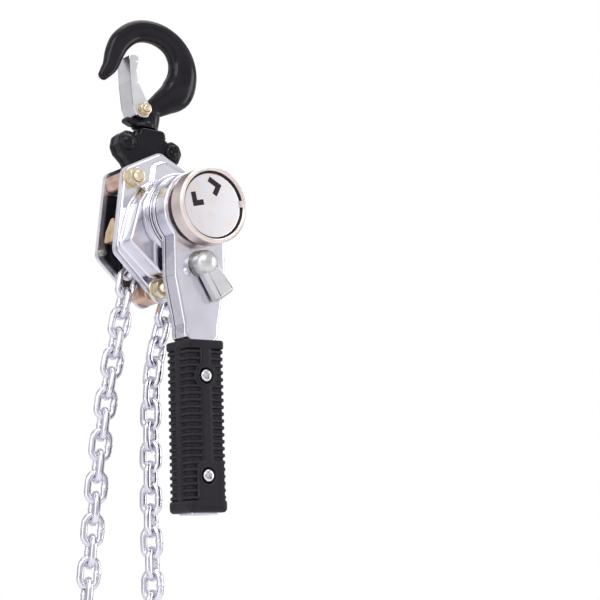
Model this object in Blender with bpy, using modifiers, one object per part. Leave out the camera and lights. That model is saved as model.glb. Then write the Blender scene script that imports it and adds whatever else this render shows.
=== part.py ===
"""Lever chain hoist, 0.25 t class, hung by its top hook.

Metres, +Z up, hand wheel towards -Y.  The world origin is the seat inside the top hook's bowl.
Sizes below are in millimetres and become metres in `metres`.  Each function makes one sub-part.
"""
import math

import bmesh
import bpy
from mathutils import Matrix, Vector

MM = 0.001

# Where the drive axis stands below and beside the hook seat.
AXIS_X = 16.4
AXIS_Z = -106.5

# Side plates: the y of their faces, and the shape that both share.
FRONT_PLATE = (-12.0, -9.2)
REAR_PLATE = (8.2, 11.0)
PLATE_CORNERS = [(-11.0, 38.5), (-34.0, 23.5), (-34.0, -26.0), (-1.0, -51.0), (34.0, -26.0), (34.0, 21.0)]
PLATE_ROUND = 6.0
STAYS = {"upper_left": (-28.0, 18.0), "upper_right": (27.5, 16.5), "bottom": (-4.0, -42.5)}
STAY_RADIUS = 3.0

# Pressed covers on both plates.
CUP_CORNERS = [(-10.0, 32.0), (-15.8, 28.5), (-16.2, 18.2), (-22.5, 13.0), (-28.0, 2.0), (-31.5, -21.5),
               (-11.0, -35.5), (8.0, -35.5), (31.0, -21.5), (31.0, 3.5), (20.8, 12.2), (18.5, 24.0)]
GEAR_CUP_CORNERS = [(-11.3, 30.2), (-17.8, 21.4), (-18.3, -13.2), (-7.6, -29.7), (10.4, -30.1), (18.2, -17.7),
                    (17.7, 16.3), (9.2, 29.8)]
CUP_ROUND = 3.0
SHEET = 1.5
BRAKE_COVER_FRONT = -26.0
BRAKE_COVER_STEP = -17.2
STEP_HEIGHT = 14.5
GEAR_COVER_BACK = 31.0
FRONT_WALL = [(-28.0, 1.5), (-27.5, -1.0), (-30.6, -21.0), (-10.8, -34.6), (7.8, -34.6), (30.1, -21.0),
              (30.1, 3.2), (24.5, 6.0), (22.6, 10.0), (-24.0, 7.0)]
DRUM_RADII = (21.9, 22.8)
DRUM_FACES = (-28.6, -14.1)
DRUM_ARC = (-5.0, 208.0)
DRUM_WEB_HALF_WIDTH = 1.2
DRUM_WEB_TOP = 30.2
WALL_OVERLAP = 0.4

# Gear train in the gear cover.
MODULE = 1.1
SMALL_TEETH = 8
LARGE_TEETH = 20
DISC_GEAR_ANGLE = 100.0

# Chain and sheave.
CHAIN_RADIUS = 15.8
CHAIN_ENVELOPE = 13.6
STRAND_TOP = -22.0
STRAND_END = -222.0
HANK_TOP = -335.0
HANK_LENGTH = 222.0
HANK_HALF_WIDTH = 23.0
HANK_HALF_DEPTH = 22.0

# Lever, in its own frame with the arm straight down, then leant by LEVER_LEAN about the drive axis.
LEVER_LEAN = 7.65
LEVER_OUTER = (-44.0, -33.1)
LEVER_INNER = (-32.8, -29.0)
LEVER_HEAD_RADIUS = 22.5
LEVER_WALL = 1.6
GRIP_TOP = -74.0
GRIP_END = -169.0
GRIP_HALF_WIDTH = 12.3
GRIP_FACES = (-48.0, -24.0)
GRIP_SCREWS = (-94.0, -149.0)
SELECTOR_DROP = -31.0
SELECTOR_LEAN = 24.0
KNOB_ARM_LEAN = 34.0
NOSE_ANGLE = 6.15

# Hand wheel.
WHEEL_RADIUS = 21.8
WHEEL_FACES = (-60.0, -46.2)

# Hooks, measured from the bowl's centre.
HOOK_CENTRE_DROP = -16.0
HOOK_FLATTENING = 0.68
HOOK_SPINE = [(1.4, -36.6, 7.0), (1.6, -32.0, 7.2), (2.4, -28.0, 7.0), (5.0, -22.7, 6.8), (10.9, -17.3, 7.4),
              (19.4, -8.6, 8.8), (22.0, 1.0, 9.0), (20.3, 11.2, 8.2), (14.0, 18.9, 7.3), (4.5, 22.7, 6.8),
              (-5.5, 22.8, 6.6), (-14.3, 19.1, 6.6), (-21.0, 12.3, 6.4), (-25.0, 3.0, 5.3),
              (-27.4, -5.6, 4.4), (-29.8, -10.4, 3.4), (-31.2, -13.2, 1.8)]
LATCH_PIVOT = (-5.0, -27.5)
LATCH_CORNERS = [(-18.3, 2.5), (-13.0, 4.0), (-3.0, -19.0), (-0.2, -26.0), (-2.5, -32.0), (-8.0, -32.5),
                 (-12.2, -27.0), (-15.8, -12.0)]
LATCH_HALF_WIDTH = 7.2
STEM_SHOULDER = -45.6
STEM_END = -50.0
CHAIN_PIN_RISE = 61.5
CHAIN_PIN_RADIUS = 2.0
BOTTOM_X = -21.6
BOTTOM_HOOK_DROP = -290.0

# Gap between touching pieces.
GAP = 0.3

bodies = {}
materials = {}


def metres(x, y, z):
    """World position in metres of a point given in millimetres from the drive axis."""
    return Vector(((x + AXIS_X) * MM, y * MM, (z + AXIS_Z) * MM))


def seat(x, y, z):
    """World position in metres of a point given in millimetres from the hook seat."""
    return Vector((x * MM, y * MM, z * MM))


def clear_scene():
    for obj in list(bpy.data.objects):
        bpy.data.objects.remove(obj, do_unlink=True)


def make_collection(name):
    collection = bpy.data.collections.new(name)
    bpy.context.scene.collection.children.link(collection)
    return collection


def material(name, colour, roughness, metallic):
    if name not in materials:
        made = bpy.data.materials.new(name)
        made.use_nodes = True
        shader = made.node_tree.nodes["Principled BSDF"]
        shader.inputs["Base Color"].default_value = (*colour, 1.0)
        shader.inputs["Roughness"].default_value = roughness
        shader.inputs["Metallic"].default_value = metallic
        materials[name] = made
    return materials[name]


def zinc(name):
    return material(name, (0.72, 0.72, 0.76), 0.28, 1.0)


def gold(name):
    return material(name, (0.80, 0.66, 0.38), 0.35, 1.0)


def black(name):
    return material(name, (0.03, 0.028, 0.032), 0.3, 0.0)


def steel(name):
    return material(name, (0.5, 0.5, 0.52), 0.4, 1.0)


def copper(name):
    return material(name, (0.72, 0.45, 0.33), 0.4, 1.0)


def evaluated(obj):
    """The object's mesh with its modifiers applied, in the object's own coordinates."""
    depsgraph = bpy.context.evaluated_depsgraph_get()
    depsgraph.update()
    return bpy.data.meshes.new_from_object(obj.evaluated_get(depsgraph))


def weld(mesh):
    work = bmesh.new()
    work.from_mesh(mesh)
    bmesh.ops.remove_doubles(work, verts=work.verts, dist=1e-6)
    bmesh.ops.recalc_face_normals(work, faces=work.faces)
    work.to_mesh(mesh)
    work.free()


def scratch(name, data):
    obj = bpy.data.objects.new(name, data)
    bpy.context.scene.collection.objects.link(obj)
    return obj


def settle(obj, matrix):
    """Replace the object by a plain mesh of its evaluated shape, moved by the matrix."""
    mesh = evaluated(obj)
    mesh.transform(matrix)
    weld(mesh)
    name = obj.name
    bpy.data.objects.remove(obj, do_unlink=True)
    mesh.name = name
    return scratch(name, mesh)


def combine(obj, other, operation):
    """Apply an exact Boolean and remove the other object."""
    modifier = obj.modifiers.new("boolean", "BOOLEAN")
    modifier.operation = operation
    modifier.solver = "EXACT"
    modifier.object = other
    mesh = evaluated(obj)
    obj.modifiers.clear()
    obj.data = mesh
    weld(mesh)
    bpy.data.objects.remove(other, do_unlink=True)
    return obj


def cut(obj, *others):
    for other in others:
        combine(obj, other, "DIFFERENCE")
    return obj


def join(obj, *others):
    for other in others:
        combine(obj, other, "UNION")
    return obj


def finish(obj, name, finish_material, origin, smooth=None):
    """Name the piece, give it its material, and put its origin at a world point."""
    obj.name = name
    obj.data.name = name
    obj.data.materials.clear()
    obj.data.materials.append(finish_material)
    obj.data.transform(Matrix.Translation(-origin))
    obj.location = origin
    if smooth is not None:
        obj.data.shade_smooth()
        obj.data.set_sharp_from_angle(angle=math.radians(smooth))
    bpy.context.scene.collection.objects.unlink(obj)
    hoist.objects.link(obj)
    return obj


def turn_about_y(degrees):
    return Matrix.Rotation(math.radians(degrees), 4, "Y")


def rounded(corners, radius, steps=4):
    """The outline with each corner replaced by an arc."""
    points = []
    count = len(corners)
    for index in range(count):
        before = Vector(corners[index - 1])
        corner = Vector(corners[index])
        after = Vector(corners[(index + 1) % count])
        to_before = (before - corner).normalized()
        to_after = (after - corner).normalized()
        half = to_before.angle(to_after) / 2
        reach = min(radius / math.tan(half), 0.45 * (before - corner).length, 0.45 * (after - corner).length)
        fitted = reach * math.tan(half)
        centre = corner + (to_before + to_after).normalized() * (fitted / math.sin(half))
        start = corner + to_before * reach - centre
        end = corner + to_after * reach - centre
        sweep = start.angle_signed(end)
        for step in range(steps + 1):
            points.append(tuple(centre + Matrix.Rotation(-sweep * step / steps, 2) @ start))
    return points


def circle(x, z, radius, count=24, first=0.0):
    turn = 2 * math.pi / count
    return [(x + radius * math.cos(first + turn * i), z + radius * math.sin(first + turn * i))
            for i in range(count)]


def rotated(points, degrees, about=(0.0, 0.0)):
    """Points of an outline turned counter-clockwise in the plane of x and z."""
    turn = Matrix.Rotation(math.radians(degrees), 2)
    centre = Vector(about)
    return [tuple(centre + turn @ (Vector(point) - centre)) for point in points]


def slab(name, outline, faces, holes=(), place=metres):
    """A flat outline in x and z with holes, extruded in y between two faces."""
    curve = bpy.data.curves.new(name, "CURVE")
    curve.dimensions = "2D"
    curve.fill_mode = "BOTH"
    for points in [outline, *holes]:
        spline = curve.splines.new("POLY")
        spline.points.add(len(points) - 1)
        for point, (x, z) in zip(spline.points, points):
            point.co = (x * MM, z * MM, 0.0, 1.0)
        spline.use_cyclic_u = True
    low, high = sorted(faces)
    curve.extrude = (high - low) / 2 * MM
    middle = place(0.0, (low + high) / 2, 0.0)
    upright = Matrix.Rotation(math.pi / 2, 4, "X")
    return settle(scratch(name, curve), Matrix.Translation(middle) @ upright)


def turned(name, profile, at=(0.0, 0.0), steps=32, place=metres, closed=False, axis="Y"):
    """A turned piece.  The profile lists (radius, height) pairs from its high end to its low end.

    The height runs along +Y for axis Y, and along +Z for axis Z.
    """
    mesh = bpy.data.meshes.new(name)
    work = bmesh.new()
    verts = [work.verts.new((radius * MM, 0.0, height * MM)) for radius, height in profile]
    for first, second in zip(verts, verts[1:]):
        work.edges.new((first, second))
    if closed:
        work.edges.new((verts[-1], verts[0]))
    work.to_mesh(mesh)
    work.free()
    obj = scratch(name, mesh)
    screw = obj.modifiers.new("screw", "SCREW")
    screw.axis = "Z"
    screw.steps = steps
    screw.render_steps = steps
    screw.use_merge_vertices = True
    screw.merge_threshold = 0.00001
    if axis == "Y":
        tilt = Matrix.Rotation(-math.pi / 2, 4, "X")
        middle = place(at[0], 0.0, at[1])
    else:
        tilt = Matrix.Identity(4)
        middle = place(at[0], at[1], 0.0)
    return settle(obj, Matrix.Translation(middle) @ tilt)


def rod(name, at, faces, radius, steps=20, place=metres):
    low, high = sorted(faces)
    return turned(name, [(0.0, high), (radius, high), (radius, low), (0.0, low)], at, steps, place)


def ring(name, at, faces, inner, outer, steps=32, place=metres):
    low, high = sorted(faces)
    profile = [(inner, high), (outer, high), (outer, low), (inner, low)]
    return turned(name, profile, at, steps, place, closed=True)


def box(name, low, high, place=metres):
    mesh = bpy.data.meshes.new(name)
    work = bmesh.new()
    bmesh.ops.create_cube(work, size=1.0)
    work.to_mesh(mesh)
    work.free()
    start = place(*low)
    end = place(*high)
    size = end - start
    obj = scratch(name, mesh)
    matrix = Matrix.Translation((start + end) / 2) @ Matrix.Diagonal((*size, 1.0))
    return settle(obj, matrix)


def tube(name, points, radius, radii=None, resolution=2):
    """A round tube through world points in metres, with filled ends."""
    curve = bpy.data.curves.new(name, "CURVE")
    curve.dimensions = "3D"
    curve.bevel_depth = radius * MM
    curve.bevel_resolution = resolution
    curve.use_fill_caps = True
    spline = curve.splines.new("POLY")
    spline.points.add(len(points) - 1)
    for index, point in enumerate(points):
        spline.points[index].co = (*point, 1.0)
        spline.points[index].radius = 1.0 if radii is None else radii[index]
    return settle(scratch(name, curve), Matrix.Identity(4))


def hexagon(name, at, faces, across_flats, bore, place=metres):
    corner = across_flats / math.sqrt(3.0)
    outline = circle(at[0], at[1], corner, 6, math.radians(12.0))
    hole = circle(at[0], at[1], bore, 16)
    return slab(name, outline, faces, [hole], place)


def gear_outline(teeth, at, tooth_angle):
    """Straight-sided teeth with working backlash; one tooth is centred on tooth_angle degrees."""
    pitch_radius = MODULE * teeth / 2
    tip = pitch_radius + 0.8 * MODULE
    root = pitch_radius - 1.1 * MODULE
    pitch = 2 * math.pi / teeth
    points = []
    for index in range(teeth):
        middle = math.radians(tooth_angle) + pitch * index
        for radius, share in ((root, -0.26), (tip, -0.11), (tip, 0.11), (root, 0.26)):
            angle = middle + pitch * share
            points.append((at[0] + radius * math.cos(angle), at[1] + radius * math.sin(angle)))
    return points


def smooth_route(points, spacing):
    """Evenly spaced points on a Catmull-Rom curve through the given ones, in millimetres."""
    knots = [Vector(point) for point in points]
    knots = [2 * knots[0] - knots[1], *knots, 2 * knots[-1] - knots[-2]]
    dense = []
    for index in range(1, len(knots) - 2):
        before, start, end, after = knots[index - 1:index + 3]
        for step in range(20):
            t = step / 20
            dense.append(0.5 * (2 * start + (end - before) * t
                                + (2 * before - 5 * start + 4 * end - after) * t ** 2
                                + (3 * start - before - 3 * end + after) * t ** 3))
    dense.append(knots[-2])
    even = [dense[0]]
    travelled = 0.0
    for first, second in zip(dense, dense[1:]):
        travelled += (second - first).length
        if travelled >= spacing:
            even.append(second)
            travelled = 0.0
    even[-1] = dense[-1]
    return even


# Hooks and their latches -----------------------------------------------------------------------

class Hook:
    """Where a hook hangs: its bowl's centre, and 1 for upright or -1 for upside down."""

    def __init__(self, x, z, flip):
        self.x = x
        self.z = z
        self.flip = flip

    def at(self, point):
        """x and z, from the hook seat, of a point given from the bowl's centre."""
        return self.x + point[0], self.z + self.flip * point[1]

    def pivot(self):
        x, z = self.at(LATCH_PIVOT)
        return seat(x, 0.0, z)


def hook_blank(name, hook):
    points = []
    for x, z, _ in HOOK_SPINE:
        across, height = hook.at((x, z))
        points.append(seat(across, 0.0, height))
    blank = tube(name, points, 1.0, [half for _, _, half in HOOK_SPINE], 2)
    blank.data.transform(Matrix.Diagonal((1.0, HOOK_FLATTENING, 1.0, 1.0)))
    lug = slab("lug", circle(*hook.at(LATCH_PIVOT), 4.6, 16), (-3.6, 3.6), place=seat)
    stem_profile = [(0.0, -33.5), (6.4, -33.5), (7.4, -35.2), (7.4, -37.2), (3.8, -37.2),
                    (3.8, STEM_SHOULDER), (6.3, STEM_SHOULDER), (6.3, STEM_END), (0.0, STEM_END)]
    stem_profile = [(radius, hook.z + hook.flip * height) for radius, height in stem_profile]
    stem = turned("stem", stem_profile[::hook.flip], (hook.x, 0.0), 24, seat, axis="Z")
    join(blank, stem, lug)
    return cut(blank, rod("bore", hook.at(LATCH_PIVOT), (-8.0, 8.0), 2.0 + GAP, 16, seat))


def latch_blank(name, hook):
    def placed(points):
        return [hook.at(point) for point in points]

    outline = placed(rounded(LATCH_CORNERS, 3.0, 3))
    half = LATCH_HALF_WIDTH
    blank = slab(name, outline, (-half, half), place=seat)
    # The hollow is open on the bowl's side and below, and leaves a web on the outer side.
    hollow = placed([(-16.6, 8.0), (30.0, 8.0), (30.0, -45.0), (-9.0, -45.0), (-10.9, -27.0), (-14.6, -11.5)])
    core = slab("core", hollow, (-half + 1.2, half - 1.2), place=seat)
    bore = rod("bore", hook.at(LATCH_PIVOT), (-12.0, 12.0), 2.0 + GAP, 16, seat)
    return cut(blank, core, bore)


def latch_bolt(name, hook):
    """A shouldered bolt with its nut locked on the front end."""
    at = hook.at(LATCH_PIVOT)
    reach = LATCH_HALF_WIDTH + GAP
    profile = [(0.0, reach + 2.2), (3.0, reach + 2.0), (3.6, reach), (2.0, reach), (2.0, -reach - 3.4),
               (0.0, -reach - 3.4)]
    bolt = turned("bolt", profile, at, 20, seat)
    nut = slab("nut", circle(at[0], at[1], 3.7, 6), (-reach - 2.4, -reach), place=seat)
    join(bolt, nut)
    return finish(bolt, name, gold("fastener_gold"), hook.pivot(), 35)


def latch_spring(name, hook):
    """A torsion spring wound round the latch bolt beside the lug."""
    x, z = hook.at(LATCH_PIVOT)
    points = []
    for step in range(19):
        angle = -2 * math.pi * step / 12
        points.append(seat(x + 2.9 * math.cos(angle), 5.15 + 0.028 * step, z + 2.9 * math.sin(angle)))
    points.append(seat(x - 4.4, 5.65, z + 7.0))
    return finish(tube(name, points, 0.25, resolution=1), name, steel("spring_steel"), hook.pivot(), 60)


def top_hook():
    obj = hook_blank("top_hook", TOP_HOOK)
    return finish(obj, "top_hook", black("hook_black"), seat(0.0, 0.0, 0.0), 40)


def bottom_hook():
    obj = hook_blank("bottom_hook", BOTTOM_HOOK)
    return finish(obj, "bottom_hook", black("hook_black"), seat(BOTTOM_HOOK.x, 0.0, BOTTOM_HOOK.z), 40)


def latch(name, hook):
    return finish(latch_blank(name, hook), name, zinc("latch_zinc"), hook.pivot(), 35)


TOP_HOOK = Hook(0.0, HOOK_CENTRE_DROP, 1)
BOTTOM_HOOK = Hook(BOTTOM_X + AXIS_X, BOTTOM_HOOK_DROP + AXIS_Z, -1)


# Yoke ------------------------------------------------------------------------------------------

YOKE_X = -AXIS_X
YOKE_CORNERS = [(-8.2, 52.8), (10.4, 52.8), (11.4, 46.6), (16.2, 48.6), (22.4, 44.5), (23.0, 37.0),
                (15.5, 30.5), (8.0, 23.6), (-6.4, 23.6), (-12.6, 29.5), (-18.8, 36.5), (-19.2, 43.6),
                (-13.8, 48.0), (-9.4, 46.0)]
YOKE_EARS = ((-13.4, 41.2), (16.0, 41.6))
YOKE_HALF_DEPTH = 7.8
REAR_EAR_DEPTH = 5.0
REAR_BODY_SIDES = (-8.8, 10.4)
REAR_STEP_REACH = 40.0
TOP_PIN = (YOKE_X, 29.0)
TOP_PIN_RADIUS = 3.0


def yoke_half(name, side):
    outline = [(YOKE_X + x, z) for x, z in rounded(YOKE_CORNERS, 2.6, 3)]
    faces = (side * 0.15, side * YOKE_HALF_DEPTH)
    obj = slab(name, outline, faces)
    low = HOOK_CENTRE_DROP + STEM_END - AXIS_Z - GAP
    high = HOOK_CENTRE_DROP + STEM_SHOULDER - AXIS_Z + GAP
    cavity = turned("cavity", [(0.0, 60.0), (3.8 + GAP, 60.0), (3.8 + GAP, high), (6.3 + GAP, high),
                               (6.3 + GAP, low), (0.0, low)], (YOKE_X, 0.0), 24, axis="Z")
    pin_bore = rod("bore", TOP_PIN, (-20.0, 20.0), TOP_PIN_RADIUS + GAP)
    rivet_bores = [rod("bore", (YOKE_X + x, z), (-20.0, 20.0), 2.5 + GAP, 16) for x, z in YOKE_EARS]
    cut(obj, cavity, pin_bore, *rivet_bores)
    if side > 0:
        left = (YOKE_X - REAR_STEP_REACH, YOKE_X + REAR_BODY_SIDES[0])
        right = (YOKE_X + REAR_BODY_SIDES[1], YOKE_X + REAR_STEP_REACH)
        for low, high in (left, right):
            cut(obj, box("step", (low, REAR_EAR_DEPTH, 15.0), (high, YOKE_HALF_DEPTH + 2.0, 60.0)))
    return finish(obj, name, black("yoke_black"), metres(YOKE_X, 0.0, 45.0), 35)


def yoke_rivet(name, ear):
    x, z = ear
    front = -YOKE_HALF_DEPTH - GAP
    rear = REAR_EAR_DEPTH + GAP
    profile = [(0.0, rear + 2.0), (3.0, rear + 1.7), (4.1, rear + 0.9), (4.4, rear), (2.5, rear),
               (2.5, front), (5.0, front), (4.7, front - 1.3), (3.2, front - 2.3), (0.0, front - 2.7)]
    obj = turned(name, profile, (YOKE_X + x, z), 20)
    return finish(obj, name, black("yoke_black"), metres(YOKE_X + x, 0.0, z), 50)


def top_pin():
    obj = rod("top_pin", TOP_PIN, (FRONT_PLATE[0] + GAP, REAR_PLATE[1] - GAP), TOP_PIN_RADIUS, 24)
    return finish(obj, "top_pin", steel("bare_steel"), metres(TOP_PIN[0], 0.0, TOP_PIN[1]), 40)


# Frame -----------------------------------------------------------------------------------------

BEARING_OUTER = 12.0
BEARING_INNER = 9.3


def disc_gear_centres():
    reach = MODULE * (SMALL_TEETH + LARGE_TEETH) / 2
    return {"left": rotated([(reach, 0.0)], DISC_GEAR_ANGLE)[0],
            "right": rotated([(-reach, 0.0)], DISC_GEAR_ANGLE)[0]}


def side_plate(name, faces, extra_holes):
    holes = [circle(0.0, 0.0, BEARING_OUTER + GAP, 32), circle(*TOP_PIN, TOP_PIN_RADIUS + GAP, 20)]
    holes += [circle(*at, STAY_RADIUS + GAP, 16) for at in STAYS.values()]
    outline = rounded(PLATE_CORNERS, PLATE_ROUND, 4)
    obj = slab(name, outline, faces, holes + extra_holes)
    return finish(obj, name, zinc("plate_zinc"), metres(0.0, 0.0, 0.0), 30)


def stay(name, at):
    """A shouldered stay that spaces the plates and carries a nut in front; its head is behind."""
    front = FRONT_PLATE[0] - SHEET - 10.0
    head = REAR_PLATE[1] + SHEET + 2 * GAP
    profile = [(0.0, head + 1.6), (3.3, head + 1.6), (3.8, head + 1.1), (3.8, head), (STAY_RADIUS, head),
               (STAY_RADIUS, REAR_PLATE[0] - GAP), (4.0, REAR_PLATE[0] - GAP), (4.0, FRONT_PLATE[1] + GAP),
               (STAY_RADIUS, FRONT_PLATE[1] + GAP), (STAY_RADIUS, front + 0.6), (STAY_RADIUS - 0.6, front),
               (0.0, front)]
    obj = turned(name, profile, at, 20)
    return finish(obj, name, gold("fastener_gold"), metres(at[0], 0.0, at[1]), 35)


def stay_nut(name, at):
    face = FRONT_PLATE[0] - SHEET - 2 * GAP
    obj = hexagon(name, at, (face - 6.5, face), 10.0, STAY_RADIUS + 0.15)
    return finish(obj, name, gold("fastener_gold"), metres(at[0], 0.0, at[1]), 30)


def bearing(name, faces):
    obj = ring(name, (0.0, 0.0), faces, BEARING_INNER, BEARING_OUTER)
    return finish(obj, name, steel("bare_steel"), metres(0.0, 0.0, 0.0), 35)


def pressed_cover(name, flange_faces, end, cup_corners, closed):
    """A flange on a side plate with a raised cup; a closed cup has an end wall."""
    flange_outline = [(x * 0.965, z * 0.965) for x, z in rounded(PLATE_CORNERS, PLATE_ROUND, 4)]
    cup_outer = rounded(cup_corners, CUP_ROUND, 3)
    obj = slab(name, flange_outline, flange_faces)
    out = 1 if end > flange_faces[0] else -1
    join(obj, slab("cup", cup_outer, (flange_faces[0], end)))
    inner = rounded(inset(cup_corners, SHEET), CUP_ROUND - SHEET, 3)
    inner_end = end - out * SHEET if closed else end + out * 5.0
    cut(obj, slab("core", inner, (flange_faces[0] - out * 5.0, inner_end)))
    bores = [rod("bore", at, (-60.0, 60.0), STAY_RADIUS + GAP, 16) for at in STAYS.values()]
    return cut(obj, *bores)


def inset(corners, distance):
    """The outline moved inwards by a distance along each side's normal."""
    result = []
    count = len(corners)
    for index in range(count):
        before = Vector(corners[index - 1])
        corner = Vector(corners[index])
        after = Vector(corners[(index + 1) % count])
        first = (corner - before).normalized()
        second = (after - corner).normalized()
        inwards = Vector((-first.y, first.x)) + Vector((-second.y, second.x))
        scale = 2 * distance / inwards.length_squared
        result.append(tuple(corner + inwards * scale))
    return result


def arc_outline(radii, arc, steps):
    """A band between two radii over an arc given in degrees."""
    inner, outer = radii
    angles = [math.radians(arc[0] + (arc[1] - arc[0]) * i / steps) for i in range(steps + 1)]
    points = [(outer * math.cos(a), outer * math.sin(a)) for a in angles]
    return points + [(inner * math.cos(a), inner * math.sin(a)) for a in reversed(angles)]


def brake_cover():
    """A cup that stands lower at the top, with a front wall below and a drum round the brake."""
    face = FRONT_PLATE[0] - GAP
    obj = pressed_cover("brake_cover", (face, face - SHEET), BRAKE_COVER_FRONT, CUP_CORNERS, False)
    cut(obj, box("step", (-40.0, BRAKE_COVER_FRONT - 1.0, STEP_HEIGHT), (40.0, BRAKE_COVER_STEP, 45.0)))
    drum = slab("drum", arc_outline(DRUM_RADII, DRUM_ARC, 24), DRUM_FACES)
    web = box("web", (-DRUM_WEB_HALF_WIDTH, BRAKE_COVER_STEP + WALL_OVERLAP, DRUM_RADII[0] + WALL_OVERLAP),
              (DRUM_WEB_HALF_WIDTH, DRUM_FACES[1] - WALL_OVERLAP, DRUM_WEB_TOP))
    join(drum, web)
    join(obj, drum)
    opening = circle(0.0, 0.0, (DRUM_RADII[0] + DRUM_RADII[1]) / 2, 40)
    join(obj, slab("wall", FRONT_WALL, (BRAKE_COVER_FRONT + 0.3, BRAKE_COVER_FRONT + SHEET), [opening]))
    return finish(obj, "brake_cover", zinc("cover_zinc"), metres(0.0, 0.0, 0.0), 30)


def gear_cover():
    face = REAR_PLATE[1] + GAP
    obj = pressed_cover("gear_cover", (face, face + SHEET), GEAR_COVER_BACK, GEAR_CUP_CORNERS, True)
    return finish(obj, "gear_cover", zinc("cover_zinc"), metres(0.0, 0.0, 0.0), 30)


def between_plates(name, outline, holes, piece_material):
    obj = slab(name, outline, (FRONT_PLATE[1] + GAP, REAR_PLATE[0] - GAP), holes)
    return finish(obj, name, piece_material, metres(0.0, 0.0, 0.0), 35)


def chain_guide():
    """A brass block beside the load chain, with a pointed top."""
    corners = [(-32.8, -18.5), (-28.0, -18.5), (-27.6, -10.0), (-29.4, -4.8), (-31.2, -4.8), (-32.8, -9.0)]
    outline = rounded(corners, 1.0, 3)
    obj = slab("chain_guide", outline, (FRONT_PLATE[1] + GAP, 4.0))
    return finish(obj, "chain_guide", gold("guide_brass"), metres(0.0, 0.0, 0.0), 35)


def upper_guide():
    """A copper sleeve round the upper left stay that keeps the chain off the plates."""
    faces = (FRONT_PLATE[1] + GAP, REAR_PLATE[0] - GAP)
    obj = ring("upper_guide", STAYS["upper_left"], faces, 4.0 + GAP, 5.6, 24)
    return finish(obj, "upper_guide", copper("guide_copper"), metres(0.0, 0.0, 0.0), 35)


def chain_stripper():
    corners = [(-3.0, -24.5), (3.0, -24.5), (5.2, -38.0), (3.2, -48.0), (-9.4, -47.6), (-9.6, -38.0)]
    outline = rounded(corners, 1.5, 3)
    hole = circle(*STAYS["bottom"], 4.0 + GAP, 20)
    return between_plates("chain_stripper", outline, [hole], copper("guide_copper"))


# Drive -----------------------------------------------------------------------------------------

HUB_FACES = (-16.2, -13.4)
INNER_DISC_FACES = (-18.1, -16.5)
RATCHET_FACES = (-21.4, -18.4)
OUTER_DISC_FACES = (-23.3, -21.7)
CHANGE_FLANGE_FACES = (-27.0, -23.6)
LOAD_GEAR_FACES = (12.2, 17.4)
PINION_FACES = (18.6, 24.6)
SHAFT_RADIUS = 3.2
RATCHET_TEETH = 20
RATCHET_TIP = 21.5
RATCHET_ROOT = 19.3
STEEP_FACE_ANGLE = -11.8
CHANGE_TEETH = 12


def load_sheave():
    """A spool with four pockets for the flat links and a groove for the upright ones."""
    flange = (FRONT_PLATE[1] + GAP, REAR_PLATE[0] - GAP)
    profile = [(4.4, 11.6), (BEARING_INNER - GAP, 11.6), (BEARING_INNER - GAP, flange[1]), (19.5, flange[1]),
               (19.5, 6.4), (13.6, 4.6), (13.6, 2.6), (9.0, 2.6), (9.0, -2.6), (13.6, -2.6), (13.6, -4.6),
               (19.5, -7.2), (19.5, flange[0]), (BEARING_INNER - GAP, flange[0]),
               (BEARING_INNER - GAP, -12.0), (4.4, -12.0)]
    obj = turned("load_sheave", profile, (0.0, 0.0), 24, closed=True)
    for index in range(4):
        outline = rotated([(12.4, -9.4), (26.0, -9.4), (26.0, 9.4), (12.4, 9.4)], 45.0 + 90.0 * index)
        cut(obj, slab("pocket", outline, (-6.2, 6.2)))
    return finish(obj, "load_sheave", steel("bare_steel"), metres(0.0, 0.0, 0.0), 35)


def load_gear():
    outline = gear_outline(LARGE_TEETH, (0.0, 0.0), DISC_GEAR_ANGLE)
    obj = slab("load_gear", outline, LOAD_GEAR_FACES, [circle(0.0, 0.0, SHAFT_RADIUS + 1.0, 24)])
    return finish(obj, "load_gear", steel("gear_steel"), metres(0.0, 0.0, 0.0), 30)


def disc_gear(name, at, facing):
    """A large gear and a small pinion on one stub shaft; `facing` is the direction of the drive axis."""
    large = slab(name, gear_outline(LARGE_TEETH, at, facing + 180.0 / LARGE_TEETH), PINION_FACES)
    small = slab("small", gear_outline(SMALL_TEETH, at, facing + 180.0 / SMALL_TEETH),
                 (LOAD_GEAR_FACES[0], PINION_FACES[0] + 1.0))
    stub = rod("stub", at, (REAR_PLATE[0] + 0.5, 28.5), 2.4, 20)
    join(large, small, stub)
    return finish(large, name, steel("gear_steel"), metres(at[0], 0.0, at[1]), 30)


def pinion_shaft():
    teeth = slab("pinion_shaft", gear_outline(SMALL_TEETH, (0.0, 0.0), DISC_GEAR_ANGLE), PINION_FACES)
    shaft = rod("shaft", (0.0, 0.0), (-57.0, 27.0), SHAFT_RADIUS, 24)
    join(teeth, shaft)
    return finish(teeth, "pinion_shaft", steel("gear_steel"), metres(0.0, 0.0, 0.0), 35)


def friction_hub():
    bore = SHAFT_RADIUS + GAP
    profile = [(bore, HUB_FACES[1]), (20.8, HUB_FACES[1]), (20.8, HUB_FACES[0]), (8.4, HUB_FACES[0]),
               (8.4, OUTER_DISC_FACES[0] + GAP), (bore, OUTER_DISC_FACES[0] + GAP)]
    obj = turned("friction_hub", profile, closed=True)
    return finish(obj, "friction_hub", zinc("disc_zinc"), metres(0.0, 0.0, 0.0), 35)


def friction_disc(name, faces):
    obj = ring(name, (0.0, 0.0), faces, 8.8, 21.0)
    lining = material("friction_lining", (0.30, 0.26, 0.23), 0.8, 0.0)
    return finish(obj, name, lining, metres(0.0, 0.0, 0.0), 35)


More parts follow.
